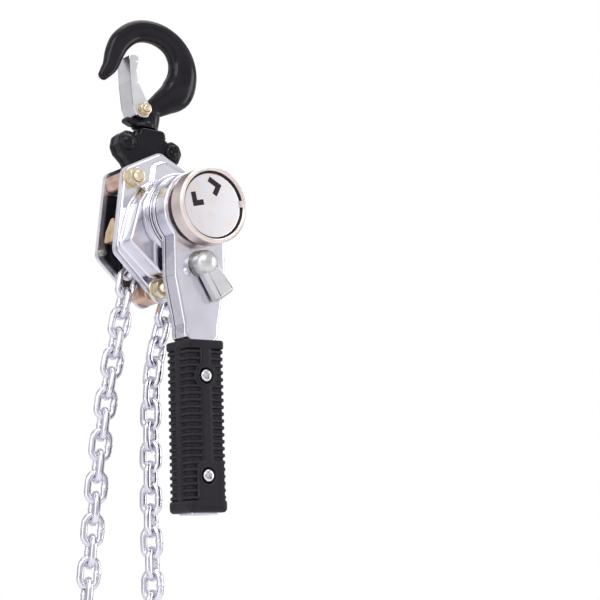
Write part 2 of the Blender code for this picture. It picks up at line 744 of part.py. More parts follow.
def ratchet_disc():
    """Saw teeth whose steep faces meet the ends of both pawls."""
    pitch = 360.0 / RATCHET_TEETH
    outline = []
    for index in range(RATCHET_TEETH):
        foot = math.radians(STEEP_FACE_ANGLE + pitch * index)
        crest = foot + math.radians(0.6)
        outline.append((RATCHET_ROOT * math.cos(foot), RATCHET_ROOT * math.sin(foot)))
        outline.append((RATCHET_TIP * math.cos(crest), RATCHET_TIP * math.sin(crest)))
    obj = slab("ratchet_disc", outline, RATCHET_FACES, [circle(0.0, 0.0, 8.8, 32)])
    return finish(obj, "ratchet_disc", zinc("disc_zinc"), metres(0.0, 0.0, 0.0), 30)


def change_gear():
    """The threaded driven wheel: a brake flange, and teeth that the selector's pawl turns."""
    bore = SHAFT_RADIUS + GAP
    flange = turned("change_gear", [(bore, CHANGE_FLANGE_FACES[1]), (20.8, CHANGE_FLANGE_FACES[1]),
                                    (20.8, CHANGE_FLANGE_FACES[0]), (9.4, CHANGE_FLANGE_FACES[0]),
                                    (9.4, -52.0), (bore, -52.0)], closed=True)
    pitch = 2 * math.pi / CHANGE_TEETH
    outline = []
    for index in range(CHANGE_TEETH):
        middle = math.radians(NOSE_ANGLE + LEVER_LEAN - 90.0) + (index + 0.5) * pitch
        for radius, share in ((11.6, -0.30), (14.6, -0.18), (14.6, 0.18), (11.6, 0.30)):
            angle = middle + share * pitch
            outline.append((radius * math.cos(angle), radius * math.sin(angle)))
    join(flange, slab("teeth", outline, (-40.6, -33.4), [circle(0.0, 0.0, 6.0, 24)]))
    return finish(flange, "change_gear", zinc("disc_zinc"), metres(0.0, 0.0, 0.0), 35)


# Pawls -----------------------------------------------------------------------------------------

PAWL_PIVOT = (24.4, -17.4)
PAWL_CORNERS = [(19.75, -4.35), (22.3, -4.85), (27.2, -12.5), (28.2, -17.4), (26.2, -21.2), (22.4, -21.2),
                (20.7, -17.2)]
PAWL_TURNS = {"right": 0.0, "left": -108.0}
# At rest the pawls stand lifted by this many degrees, clear of the ratchet disc's tips.
PAWL_LIFT = 8.0


def pawl(name, turn):
    lifted = rotated(rounded(PAWL_CORNERS, 0.9, 2), -PAWL_LIFT, PAWL_PIVOT)
    outline = rotated(lifted, turn)
    pivot = rotated([PAWL_PIVOT], turn)[0]
    faces = (RATCHET_FACES[0] - 0.2, RATCHET_FACES[1] + 0.2)
    obj = slab(name, outline, faces, [circle(*pivot, 2.0 + GAP, 16)])
    return finish(obj, name, steel("gear_steel"), metres(pivot[0], 0.0, pivot[1]), 35)


def pawl_pin(name, turn):
    pivot = rotated([PAWL_PIVOT], turn)[0]
    obj = turned(name, [(0.0, FRONT_PLATE[1] - 0.2), (2.0, FRONT_PLATE[1] - 0.2), (2.0, -22.4), (3.0, -22.4),
                        (3.0, -23.4), (0.0, -23.4)], pivot, 16)
    return finish(obj, name, steel("bare_steel"), metres(pivot[0], 0.0, pivot[1]), 35)


def pawl_spring(name, turn):
    pivot = rotated([PAWL_PIVOT], turn)[0]
    points = []
    for step in range(25):
        angle = 2 * math.pi * step / 12
        points.append(metres(pivot[0] + 2.9 * math.cos(angle), -13.0 - 0.144 * step,
                             pivot[1] + 2.9 * math.sin(angle)))
    return finish(tube(name, points, 0.4, resolution=1), name, steel("spring_steel"),
                  metres(pivot[0], 0.0, pivot[1]), 60)


# Lever -----------------------------------------------------------------------------------------

def lever_outline(margin):
    """Round head, parallel cheeks and a tapering arm with a narrow tang; margin moves it inwards."""
    head = LEVER_HEAD_RADIUS - margin
    cheek = 16.5 - margin
    start = math.asin(cheek / head) - math.pi / 2
    sweep = 2 * math.pi - 2 * math.asin(cheek / head)
    steps = 24
    points = [(head * math.cos(start + sweep * i / steps), head * math.sin(start + sweep * i / steps))
              for i in range(steps + 1)]
    arm = [(-cheek, -38.0), (-11.3 + margin, -65.0), (-11.3 + margin, -72.0 + margin),
           (-8.0 + margin, -74.5 + margin), (-8.0 + margin, -158.0 + margin)]
    points += arm
    points += [(-x, z) for x, z in reversed(arm)]
    return points


def leant(obj):
    """Lean a piece made in the lever's own frame to its rest angle about the drive axis."""
    axis = metres(0.0, 0.0, 0.0)
    obj.data.transform(Matrix.Translation(axis) @ turn_about_y(-LEVER_LEAN) @ Matrix.Translation(-axis))
    return obj


def lever_point(x, y, z):
    turned_point = turn_about_y(-LEVER_LEAN) @ Vector((x, y, z))
    return metres(*turned_point)


def lever_shell(name, faces, closed_side):
    """A pressed half of the lever: a web with walls; closed_side is the y of the web's outer face."""
    obj = slab(name, lever_outline(0.0), faces)
    low, high = faces
    core_faces = (low + LEVER_WALL, high + 5.0) if closed_side == low else (low - 5.0, high - LEVER_WALL)
    cut(obj, slab("core", lever_outline(LEVER_WALL), core_faces))
    bores = [rod("bore", (0.0, 0.0), (-60.0, 0.0), 15.2, 32)]
    bores += [rod("bore", (0.0, z), (-60.0, 0.0), 2.0 + GAP, 16) for z in GRIP_SCREWS]
    cut(obj, *bores)
    return obj


def lever_outer():
    obj = lever_shell("lever_outer", LEVER_OUTER, LEVER_OUTER[0])
    cut(obj, rod("bore", (0.0, SELECTOR_DROP), (-60.0, 0.0), 4.0 + GAP, 20))
    return finish(leant(obj), "lever_outer", zinc("lever_zinc"), metres(0.0, 0.0, 0.0), 30)


def lever_inner():
    obj = lever_shell("lever_inner", LEVER_INNER, LEVER_INNER[1])
    cut(obj, rod("bore", (0.0, SELECTOR_DROP), (-60.0, 0.0), 3.0 + GAP, 20))
    return finish(leant(obj), "lever_inner", zinc("lever_zinc"), metres(0.0, 0.0, 0.0), 30)


def grip_half(name, faces):
    half = GRIP_HALF_WIDTH
    outline = rounded([(-half, GRIP_TOP), (-half, GRIP_END), (half, GRIP_END), (half, GRIP_TOP)], 1.5, 3)
    obj = slab(name, outline, faces)
    cavity = box("cavity", (-8.4, LEVER_OUTER[0] - 0.4, -158.5), (8.4, LEVER_INNER[1] + 0.4, GRIP_TOP + 10.0))
    low = (-11.8, LEVER_OUTER[0] - 0.4, GRIP_TOP - 0.9)
    mouth = box("mouth", low, (11.8, LEVER_INNER[1] + 0.4, GRIP_TOP + 10.0))
    bores = [rod("bore", (0.0, z), (-60.0, 0.0), 2.0 + GAP, 16) for z in GRIP_SCREWS]
    sinks = [rod("sink", (0.0, z), (GRIP_FACES[0] - 5.0, GRIP_FACES[0] + 2.0), 4.6, 20) for z in GRIP_SCREWS]
    cut(obj, cavity, mouth, *bores, *sinks)
    return finish(leant(obj), name, black("grip_black"), metres(0.0, 0.0, 0.0), 30)


def grip_screw(name, z):
    face = GRIP_FACES[0] + 2.0 - GAP
    profile = [(0.0, GRIP_FACES[1] - 1.0), (2.0, GRIP_FACES[1] - 1.0), (2.0, face), (4.1, face),
               (3.4, face - 1.6), (0.0, face - 2.0)]
    obj = turned(name, profile, (0.0, z), 20)
    return finish(leant(obj), name, zinc("screw_zinc"), lever_point(0.0, 0.0, z), 40)


def selector_knob():
    """The dome and arm outside, and the square-ended spindle that carries the pawl inside."""
    hub = turned("selector_knob", [(0.0, -29.4), (3.0, -29.4), (3.0, LEVER_OUTER[0] - GAP),
                                   (7.8, LEVER_OUTER[0] - GAP), (7.8, -49.5), (7.3, -51.6), (5.4, -53.6),
                                   (2.8, -54.8), (0.0, -55.2)], (0.0, SELECTOR_DROP), 24)
    arm_outline = rounded([(-6.0, -4.0), (-6.8, -22.0), (6.8, -22.0), (6.0, -4.0)], 1.5, 3)
    arm_outline = [(x, z + SELECTOR_DROP) for x, z in arm_outline]
    arm_outline = rotated(arm_outline, KNOB_ARM_LEAN, (0.0, SELECTOR_DROP))
    join(hub, slab("arm", arm_outline, (-53.0, LEVER_OUTER[0] - 1.4)))
    return finish(leant(hub), "selector_knob", material("knob_grey", (0.62, 0.62, 0.63), 0.42, 1.0),
                  lever_point(0.0, 0.0, SELECTOR_DROP), 35)


def selector_pawl():
    """Double-ended pawl between the lever's plates; at rest one nose points at the change gear's teeth."""
    corners = [(-8.6, 13.4), (-6.6, 14.4), (-2.4, 7.6), (2.4, 7.6), (6.6, 14.4), (8.6, 13.4), (6.3, 4.0),
               (5.0, -4.2), (-5.0, -4.2), (-6.3, 4.0)]
    outline = [(x, z + SELECTOR_DROP) for x, z in rounded(corners, 0.8, 2)]
    outline = rotated(outline, SELECTOR_LEAN, (0.0, SELECTOR_DROP))
    obj = slab("selector_pawl", outline, (-40.4, -33.6), [circle(0.0, SELECTOR_DROP, 3.0 + 0.15, 20)])
    return finish(leant(obj), "selector_pawl", steel("gear_steel"), lever_point(0.0, 0.0, SELECTOR_DROP), 35)


# Hand wheel ------------------------------------------------------------------------------------

def hand_wheel():
    front, back = WHEEL_FACES
    profile = [(9.4 + GAP, back), (WHEEL_RADIUS - 0.4, back), (WHEEL_RADIUS, back - 0.4),
               (WHEEL_RADIUS, front + 0.8), (WHEEL_RADIUS - 0.8, front), (19.6, front), (19.2, front + 0.5),
               (19.2, -57.3), (11.5, -57.3), (11.5, -54.0), (9.4 + GAP, -54.0)]
    obj = turned("hand_wheel", profile, steps=36, closed=True)
    return finish(obj, "hand_wheel", material("wheel_nickel", (0.86, 0.80, 0.78), 0.3, 1.0),
                  metres(0.0, 0.0, 0.0), 35)


def wheel_face():
    front = WHEEL_FACES[0] + 1.2
    obj = rod("wheel_face", (0.0, 0.0), (front, front + 1.2), 18.6, 48)
    return finish(obj, "wheel_face", material("face_nickel", (0.84, 0.80, 0.78), 0.35, 1.0),
                  metres(0.0, 0.0, 0.0), 35)


def wheel_nut():
    obj = hexagon("wheel_nut", (0.0, 0.0), (-56.6, -54.3), 10.0, SHAFT_RADIUS + 0.15)
    return finish(obj, "wheel_nut", zinc("screw_zinc"), metres(0.0, 0.0, 0.0), 30)


# Chain and bottom hook -------------------------------------------------------------------------

LOAD_ROUTE = [(-15.8, 0.0, STRAND_TOP), (-17.8, 0.0, -48.0), (-20.6, 0.0, -80.0), (-22.7, 0.0, -113.0),
              (-23.1, 0.0, -150.0), (-22.4, 0.0, -187.0), (BOTTOM_X, 0.0, STRAND_END)]
SLACK_ROUTE = [(15.8, 0.0, STRAND_TOP), (12.6, 0.0, -42.0), (8.3, 0.0, -62.0), (5.9, 0.0, -84.0),
               (6.3, 0.0, -104.0), (8.8, 0.0, -128.0), (14.0, 0.0, -172.0), (18.2, 0.0, -201.0),
               (21.2, 0.0, -235.0), (22.4, 0.0, -285.0), (22.6, 0.0, HANK_TOP)]


def strand(name, route, at):
    points = [metres(*point) for point in smooth_route(route, 28.0)]
    obj = tube(name, points, CHAIN_ENVELOPE / 2, resolution=2)
    return finish(obj, name, zinc("chain_zinc"), at, 50)


def chain_hank():
    """The outer shape of the folded and tied rest of the slack chain."""
    x = SLACK_ROUTE[-1][0]
    obj = box("chain_hank", (x - HANK_HALF_WIDTH, -HANK_HALF_DEPTH, HANK_TOP - HANK_LENGTH),
              (x + HANK_HALF_WIDTH, HANK_HALF_DEPTH, HANK_TOP - GAP))
    bevel = obj.modifiers.new("bevel", "BEVEL")
    bevel.width = 12.0 * MM
    bevel.segments = 3
    obj = settle(obj, Matrix.Identity(4))
    return finish(obj, "chain_hank", zinc("chain_zinc"), metres(x, 0.0, STRAND_TOP), 50)


def chain_end_ring():
    x = SLACK_ROUTE[-1][0]
    profile = [(4.4 + 2.0 * math.cos(a), 2.0 * math.sin(a)) for a in
               [2 * math.pi * i / 10 for i in range(10)]]
    place_at = (x + HANK_HALF_WIDTH + 7.0, HANK_TOP - HANK_LENGTH + 30.0)
    obj = turned("chain_end_ring", profile[::-1], place_at, 20, closed=True)
    return finish(obj, "chain_end_ring", steel("bare_steel"), metres(x, 0.0, STRAND_TOP), 50)


def bottom_yoke():
    """The block that joins the last link to the bottom hook's stem, with a slot for the link."""
    drop = BOTTOM_HOOK_DROP
    corners = [(-9.6, 37.8), (9.6, 37.8), (10.4, 53.0), (5.5, 67.6), (-5.5, 67.6), (-10.4, 53.0)]
    outline = [(BOTTOM_X + x, drop + z) for x, z in rounded(corners, 3.0, 3)]
    obj = slab("bottom_yoke", outline, (-8.6, 8.6))
    shoulder = drop - STEM_SHOULDER - GAP
    end = drop - STEM_END + GAP
    cavity = turned("cavity", [(0.0, end), (6.3 + GAP, end), (6.3 + GAP, shoulder), (3.8 + GAP, shoulder),
                               (3.8 + GAP, drop + 30.0), (0.0, drop + 30.0)], (BOTTOM_X, 0.0), 24, axis="Z")
    slot = box("slot", (BOTTOM_X - 12.0, -3.0, end + 3.5), (BOTTOM_X + 12.0, 3.0, end + 30.0))
    bore = rod("bore", (BOTTOM_X, drop + CHAIN_PIN_RISE), (-20.0, 20.0), CHAIN_PIN_RADIUS + GAP, 16)
    cut(obj, cavity, slot, bore)
    return finish(obj, "bottom_yoke", black("yoke_black"), metres(BOTTOM_X, 0.0, STRAND_END), 35)


def chain_pin():
    obj = rod("chain_pin", (BOTTOM_X, BOTTOM_HOOK_DROP + CHAIN_PIN_RISE), (-8.6, 8.6), CHAIN_PIN_RADIUS, 16)
    return finish(obj, "chain_pin", steel("bare_steel"), metres(BOTTOM_X, 0.0, STRAND_END), 40)


def build():
    top_hook()
    latch("top_latch", TOP_HOOK)
    latch_bolt("top_latch_bolt", TOP_HOOK)
    latch_spring("top_latch_spring", TOP_HOOK)
    yoke_half("yoke_front", -1)
    yoke_half("yoke_rear", 1)
    yoke_rivet("yoke_rivet_left", YOKE_EARS[0])
    yoke_rivet("yoke_rivet_right", YOKE_EARS[1])
    top_pin()

    pawl_pin_holes = [circle(*rotated([PAWL_PIVOT], turn)[0], 2.0 + GAP, 16) for turn in PAWL_TURNS.values()]
    stub_holes = [circle(*at, 2.4 + GAP, 16) for at in disc_gear_centres().values()]
    side_plate("side_plate_front", FRONT_PLATE, pawl_pin_holes)
    side_plate("side_plate_rear", REAR_PLATE, stub_holes)
    for place, at in STAYS.items():
        stay(f"stay_{place}", at)
        stay_nut(f"stay_nut_{place}", at)
    bearing("sheave_bearing_front", (FRONT_PLATE[0] + 0.2, FRONT_PLATE[1] - 0.2))
    bearing("sheave_bearing_rear", (REAR_PLATE[0] + 0.2, REAR_PLATE[1] - 0.2))
    brake_cover()
    gear_cover()
    chain_guide()
    upper_guide()
    chain_stripper()
    load_sheave()
    load_gear()
    pinion_shaft()
    facing = {"left": DISC_GEAR_ANGLE + 180.0, "right": DISC_GEAR_ANGLE}
    for side, at in disc_gear_centres().items():
        disc_gear(f"disc_gear_{side}", at, facing[side])
    friction_hub()
    friction_disc("friction_disc_inner", INNER_DISC_FACES)
    ratchet_disc()
    friction_disc("friction_disc_outer", OUTER_DISC_FACES)
    change_gear()
    for side, turn in PAWL_TURNS.items():
        pawl(f"pawl_{side}", turn)
        pawl_pin(f"pawl_pin_{side}", turn)
        pawl_spring(f"pawl_spring_{side}", turn)
    lever_inner()
    lever_outer()
    middle = (GRIP_FACES[0] + GRIP_FACES[1]) / 2
    grip_half("grip_front", (GRIP_FACES[0], middle - 0.15))
    grip_half("grip_rear", (middle + 0.15, GRIP_FACES[1]))
    for place, z in zip(("upper", "lower"), GRIP_SCREWS):
        grip_screw(f"grip_screw_{place}", z)
    selector_knob()
    selector_pawl()
    hand_wheel()
    wheel_face()
    wheel_nut()
    strand("load_chain", LOAD_ROUTE, metres(-CHAIN_RADIUS, 0.0, STRAND_TOP))
    strand("slack_chain", SLACK_ROUTE, metres(CHAIN_RADIUS, 0.0, STRAND_TOP))
    chain_hank()
    chain_end_ring()
    bottom_yoke()
    chain_pin()
    bottom_hook()
    latch("bottom_latch", BOTTOM_HOOK)
    latch_bolt("bottom_latch_bolt", BOTTOM_HOOK)


clear_scene()
hoist = make_collection("lever_chain_hoist")
build()
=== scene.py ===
"""Looks of the lever chain hoist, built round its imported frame.

Sizes are in millimetres from the drive axis, +Z up, hand wheel towards -Y, and become metres in
`metres`.  Each function makes one piece or the pieces of one sub-part.
"""

import math

import bmesh
import bpy
from mathutils import Matrix, Vector

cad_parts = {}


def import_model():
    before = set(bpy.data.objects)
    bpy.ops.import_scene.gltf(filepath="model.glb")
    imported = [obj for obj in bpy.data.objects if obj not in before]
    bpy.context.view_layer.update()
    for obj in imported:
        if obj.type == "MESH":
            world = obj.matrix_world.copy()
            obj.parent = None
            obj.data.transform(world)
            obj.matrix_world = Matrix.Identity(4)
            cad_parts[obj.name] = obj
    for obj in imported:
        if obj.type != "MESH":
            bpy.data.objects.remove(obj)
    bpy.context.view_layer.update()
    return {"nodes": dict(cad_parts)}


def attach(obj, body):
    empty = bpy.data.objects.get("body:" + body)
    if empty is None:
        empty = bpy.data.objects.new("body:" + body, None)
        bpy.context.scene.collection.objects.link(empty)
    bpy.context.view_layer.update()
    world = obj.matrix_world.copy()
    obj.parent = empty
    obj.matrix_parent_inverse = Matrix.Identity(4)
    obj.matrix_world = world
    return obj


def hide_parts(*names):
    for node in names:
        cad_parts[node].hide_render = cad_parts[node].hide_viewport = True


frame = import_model()

MM = 0.001
AXIS = Vector((0.0164, 0.0, -0.1065))


def metres(x, y, z):
    """World position in metres of a point given in millimetres from the drive axis."""
    return AXIS + Vector((x, y, z)) * MM


def added(name, data):
    """A new object in the scene."""
    obj = bpy.data.objects.new(name, data)
    bpy.context.scene.collection.objects.link(obj)
    return obj


# Camera

CAMERA_DISTANCE = 1.0
CAMERA_PLACE = (-29.46, -15.46)
CAMERA_AIM = (-34.54, -13.35)
CAMERA_ROLL = 4.52
CAMERA_LENS = 102.59


def view_axes(azimuth, elevation):
    """Unit vectors to the right, up and back of a camera that looks from that direction."""
    a = math.radians(azimuth)
    e = math.radians(elevation)
    back = Vector((math.sin(a) * math.cos(e), -math.cos(a) * math.cos(e), math.sin(e)))
    right = Vector((math.cos(a), math.sin(a), 0.0))
    return right, back.cross(right), back


def make_camera():
    right, up, back = view_axes(*CAMERA_AIM)
    roll = Matrix.Rotation(math.radians(CAMERA_ROLL), 3, back)
    turn = Matrix((roll @ right, roll @ up, back)).transposed()
    camera = added("camera", bpy.data.cameras.new("camera"))
    place = AXIS + view_axes(*CAMERA_PLACE)[2] * CAMERA_DISTANCE
    camera.matrix_world = Matrix.Translation(place) @ turn.to_4x4()
    camera.data.lens = CAMERA_LENS
    camera.data.sensor_width = 36.0
    bpy.context.scene.camera = camera


make_camera()


# Outlines and routes

def arc(first, sweep, steps):
    """Angles in radians, in even steps from `first` over `sweep`, which are in degrees."""
    return [math.radians(first + sweep * i / steps) for i in range(steps + 1)]


def full_turn(count):
    return arc(0.0, 360.0, count)[:-1]


def swung(radius, angle, x=0.0, z=0.0):
    """The point at a radius and an angle about a centre."""
    return x + radius * math.cos(angle), z + radius * math.sin(angle)


def circle(x, z, radius, count=32):
    return [swung(radius, angle, x, z) for angle in full_turn(count)]


def shifted(points, dx, dz=0.0):
    return [(x + dx, z + dz) for x, z in points]


QUARTER = arc(0.0, 90.0, 4)


def rounded(corners, radius, steps=5, closed=True):
    """The outline with arcs for its corners; an open one keeps both ends."""
    count = len(corners)
    points = []
    for index, corner in enumerate(corners):
        if not closed and index in (0, count - 1):
            points.append(tuple(corner))
            continue
        corner = Vector(corner)
        before = Vector(corners[index - 1]) - corner
        after = Vector(corners[(index + 1) % count]) - corner
        half = before.angle(after) / 2
        if half > 1.55:
            points.append(tuple(corner))
            continue
        reach = min(radius / math.tan(half), 0.45 * before.length, 0.45 * after.length)
        to_before = before.normalized()
        to_after = after.normalized()
        middle = corner + (to_before + to_after).normalized() * (reach / math.cos(half))
        start = corner + to_before * reach - middle
        sweep = start.angle_signed(corner + to_after * reach - middle)
        for step in range(steps + 1):
            points.append(tuple(middle + Matrix.Rotation(-sweep * step / steps, 2) @ start))
    return points


def rotated(points, degrees, about=(0.0, 0.0)):
    """Points turned counter-clockwise in the plane of x and z."""
    turn = Matrix.Rotation(math.radians(degrees), 2)
    return [tuple(Vector(about) + turn @ (Vector(point) - Vector(about))) for point in points]


def sides(points):
    """Each point with the next one, round the loop."""
    return zip(points, points[1:] + points[:1])


def anticlockwise(points):
    area = sum(a[0] * b[1] - a[1] * b[0] for a, b in sides(points))
    return points if area > 0 else points[::-1]


def inset(points, distance):
    """An anticlockwise outline moved inwards by a distance."""
    count = len(points)
    moved = []
    for index in range(count):
        here = Vector(points[index])
        first = (here - Vector(points[index - 1])).normalized()
        second = (Vector(points[(index + 1) % count]) - here).normalized()
        inwards = Vector((-first.y, first.x)) + Vector((-second.y, second.x))
        moved.append(tuple(here + inwards * (2 * distance / max(inwards.length_squared, 0.5))))
    return moved


def polar(points, count=240):
    """A star-shaped outline sampled at even angles about the drive axis."""
    sampled = []
    for angle in full_turn(count):
        ray = Vector(swung(1.0, angle))
        best = None
        for a, b in sides(points):
            side = Vector(b) - Vector(a)
            cross = ray.x * side.y - ray.y * side.x
            if abs(cross) < 1e-9:
                continue
            along = (a[0] * ray.y - a[1] * ray.x) / cross
            reach = (a[0] * side.y - a[1] * side.x) / cross
            if -1e-6 <= along <= 1 + 1e-6 and reach > 0:
                best = reach if best is None else max(best, reach)
        sampled.append(tuple(ray * best))
    return sampled


def smooth(points, per_span=12):
    """A Catmull-Rom curve through the points."""
    knots = [Vector(point) for point in points]
    knots = [2 * knots[0] - knots[1], *knots, 2 * knots[-1] - knots[-2]]
    dense = []
    for index in range(1, len(knots) - 2):
        before, start, end, after = knots[index - 1:index + 3]
        for step in range(per_span):
            t = step / per_span
            dense.append(0.5 * (2 * start + (end - before) * t
                                + (2 * before - 5 * start + 4 * end - after) * t ** 2
                                + (3 * start - before - 3 * end + after) * t ** 3))
    dense.append(knots[-2])
    return dense


def route_length(points):
    return sum((b - a).length for a, b in zip(points, points[1:]))


def point_along(points, distance):
    """The point and the unit direction at a distance along a route."""
    left = distance
    for a, b in zip(points, points[1:]):
        span = (b - a).length
        if left <= span or b is points[-1]:
            return a + (b - a) * (left / span), (b - a).normalized()
        left -= span
    return points[-1], (points[-1] - points[-2]).normalized()


# Shapes

class Shape:
    """Closed bodies in one mesh, all given in millimetres from the drive axis."""

    def __init__(self):
        self.work = bmesh.new()

    def loop(self, points):
        verts = [self.work.verts.new(metres(*point)) for point in points]
        if len(verts) > 1:
            for pair in sides(verts):
                self.work.edges.new(pair)
        return verts

    def flat(self, points, y):
        return self.loop([(x, y, z) for x, z in points])

    def bridge(self, first, second):
        """Faces between two loops of the same length, or between a loop and a single point."""
        if len(first) == 1 or len(second) == 1:
            pole, around = (first[0], second) if len(first) == 1 else (second[0], first)
            for a, b in sides(around):
                self.work.faces.new((a, b, pole))
            return
        for (a, b), (c, d) in zip(sides(first), sides(second)):
            self.work.faces.new((a, b, d, c))

    def fill(self, *loops):
        """A flat face bounded by the first loop, with the others as its holes."""
        edges = [self.work.edges.get(pair) for verts in loops for pair in sides(verts)]
        bmesh.ops.triangle_fill(self.work, use_beauty=True, edges=edges)

    def loft(self, loops, ring=False):
        """A closed body through loops of points, capped at both ends or joined into a ring."""
        rows = [self.loop(points) for points in loops]
        for first, second in zip(rows, rows[1:]):
            self.bridge(first, second)
        if ring:
            self.bridge(rows[-1], rows[0])
        else:
            for end in (rows[0], rows[-1]):
                if len(end) > 1:
                    self.fill(end)
        return self

    def pressed(self, outline, stations, holes=(), pockets=()):
        """A flat piece: stations are (inset, y) from its front face round the edge to its back face.

        holes are outlines cut through; pockets are (outline, y of the floor) cut into the front.
        """
        outline = anticlockwise(list(outline))
        rows = [self.flat(inset(outline, depth), y) for depth, y in stations]
        for first, second in zip(rows, rows[1:]):
            self.bridge(first, second)
        front, back = stations[0][1], stations[-1][1]
        ends = [[rows[0]], [rows[-1]]]
        for hole in holes:
            pair = [self.flat(hole, y) for y in (front, back)]
            self.bridge(*pair)
            ends[0].append(pair[0])
            ends[1].append(pair[1])
        for pocket, floor in pockets:
            pair = [self.flat(pocket, y) for y in (front, floor)]
            self.bridge(*pair)
            self.fill(pair[1])
            ends[0].append(pair[0])
        self.fill(*ends[0])
        self.fill(*ends[1])
        return self

    def plate(self, outline, faces, edge, holes=(), steps=2):
        """A flat plate between two faces, front first, with its edges rounded by `edge`."""
        front, back = faces
        sign = 1 if back > front else -1
        bend = [(edge * (1 - math.sin(t)), sign * edge * (1 - math.cos(t))) for t in arc(0.0, 90.0, steps)]
        stations = [(depth, front + rise) for depth, rise in bend]
        stations += [(depth, back - rise) for depth, rise in bend[::-1]]
        return self.pressed(outline, stations, holes)

    def turned(self, profile, at=(0.0, 0.0), steps=64, axis="Y", ring=False):
        """A turned body through (radius, place along the axis) pairs; a radius of 0 is a pole."""
        loops = []
        for radius, height in profile:
            around = circle(*at, radius, steps if radius else 1)
            loops.append([(x, height, other) if axis == "Y" else (x, other, height) for x, other in around])
        return self.loft(loops, ring)

    def swept(self, profile, turns):
        """A (radius, y) profile swept through angles about the drive axis."""
        return self.loft([[(r * math.cos(a), y, r * math.sin(a)) for r, y in profile] for a in turns])

    def collar(self, bore, radius, faces, corner, steps=96, fineness=3, at=(0.0, 0.0)):
        """A turned ring with rounded corners."""
        low, high = faces
        corners = [(bore, low), (radius, low), (radius, high), (bore, high)]
        return self.turned(rounded(corners, corner, fineness), at, steps, ring=True)

    def tube(self, points, radius, around=12, radii=None):
        """A round tube along 3-D points; each radius may have its own factor in radii."""
        points = [Vector(point) for point in points]
        side = None
        loops = []
        for index, point in enumerate(points):
            before = points[max(index - 1, 0)]
            after = points[min(index + 1, len(points) - 1)]
            along = (after - before).normalized()
            if side is None:
                side = along.orthogonal().normalized()
            side = (side - along * side.dot(along)).normalized()
            other = along.cross(side)
            size = radius * (radii[index] if radii else 1.0)
            loops.append([tuple(point + (side * math.cos(a) + other * math.sin(a)) * size)
                          for a in full_turn(around)])
        return self.loft(loops)

    def nut(self, at, front, back, flats, bore, turn=12.0):
        """A chamfered hexagon nut with a countersunk bore."""
        flat = flats / 2
        turn = math.radians(turn)
        rows = [[], [], [], []]
        for angle in full_turn(48):
            corner = flat / math.cos((angle + math.pi / 6) % (math.pi / 3) - math.pi / 6)
            rise = (corner - 0.97 * flat) * 0.6
            ring = ((0.97 * flat, front), (corner, front + rise), (corner, back - rise), (0.97 * flat, back))
            for row, (radius, y) in zip(rows, ring):
                x, z = swung(radius, angle + turn, *at)
                row.append((x, y, z))
        for radius, y in ((bore + 0.5, back), (bore, back - 0.5), (bore, front + 0.5), (bore + 0.5, front)):
            around = [swung(radius, angle + turn, *at) for angle in full_turn(48)]
            rows.append([(x, y, z) for x, z in around])
        return self.loft(rows, ring=True)

    def mesh(self, name):
        bmesh.ops.recalc_face_normals(self.work, faces=self.work.faces)
        mesh = bpy.data.meshes.new(name)
        self.work.to_mesh(mesh)
        self.work.free()
        return mesh


def eased(profile, radius, steps=3):
    """A turned profile with its corners rounded, ends kept."""
    return rounded(profile, radius, steps, closed=False)


# Finishes

class Nodes:
    """Shader nodes made and linked in one call each."""

    def __init__(self, tree):
        self.tree = tree

    def put(self, socket, value):
        """Give an input its value, or link it when the value is another node's output."""
        if isinstance(value, bpy.types.NodeSocket):
            self.tree.links.new(value, socket)
        else:
            socket.default_value = value

    def node(self, kind, **inputs):
        """A new node; an input's name has _ for each space."""
        made = self.tree.nodes.new("ShaderNode" + kind)
        for name, value in inputs.items():
            self.put(made.inputs[name.replace("_", " ")], value)
        return made

    def ramp(self, value, stops):
        made = self.node("ValToRGB", Fac=value)
        elements = made.color_ramp.elements
        while len(elements) < len(stops):
            elements.new(0.5)
        for element, (position, colour) in zip(elements, stops):
            element.position = position
            element.color = (*colour, 1.0)
        return made.outputs["Color"]

    def mixed(self, factor, first, second):
        made = self.node("Mix")
        made.data_type = "RGBA"
        for name, value in (("Factor", factor), ("A", first), ("B", second)):
            self.put(made.inputs[name], (*value, 1.0) if isinstance(value, tuple) else value)
        return made.outputs["Result"]


class Finish(Nodes):
    """A procedural material in the making, with its noise read in metres of the object."""

    def __init__(self, name):
        self.material = bpy.data.materials.new(name)
        self.material.use_nodes = True
        super().__init__(self.material.node_tree)
        self.place = self.node("TexCoord").outputs["Object"]

    def set(self, name, value):
        self.put(self.tree.nodes["Principled BSDF"].inputs[name], value)

    def noise(self, scale, detail=4.0, roughness=0.55, stretch=None):
        place = self.place
        if stretch:
            place = self.node("Mapping", Vector=place, Scale=stretch).outputs["Vector"]
        made = self.node("TexNoise", Vector=place, Scale=scale, Detail=detail, Roughness=roughness)
        return made.outputs["Fac"]

    def spread(self, value, low, high):
        made = self.node("MapRange", Value=value, From_Min=0.3, From_Max=0.7, To_Min=low, To_Max=high)
        return made.outputs["Result"]

    def bump(self, height, strength, distance):
        made = self.node("Bump", Height=height, Strength=strength, Distance=distance)
        self.set("Normal", made.outputs["Normal"])

    def edges(self, low, high):
        """How far the surface stands out, from 0 on flats and hollows to 1 on sharp edges."""
        pointiness = self.node("NewGeometry").outputs["Pointiness"]
        return self.ramp(pointiness, [(low, (0.0, 0.0, 0.0)), (high, (1.0, 1.0, 1.0))])


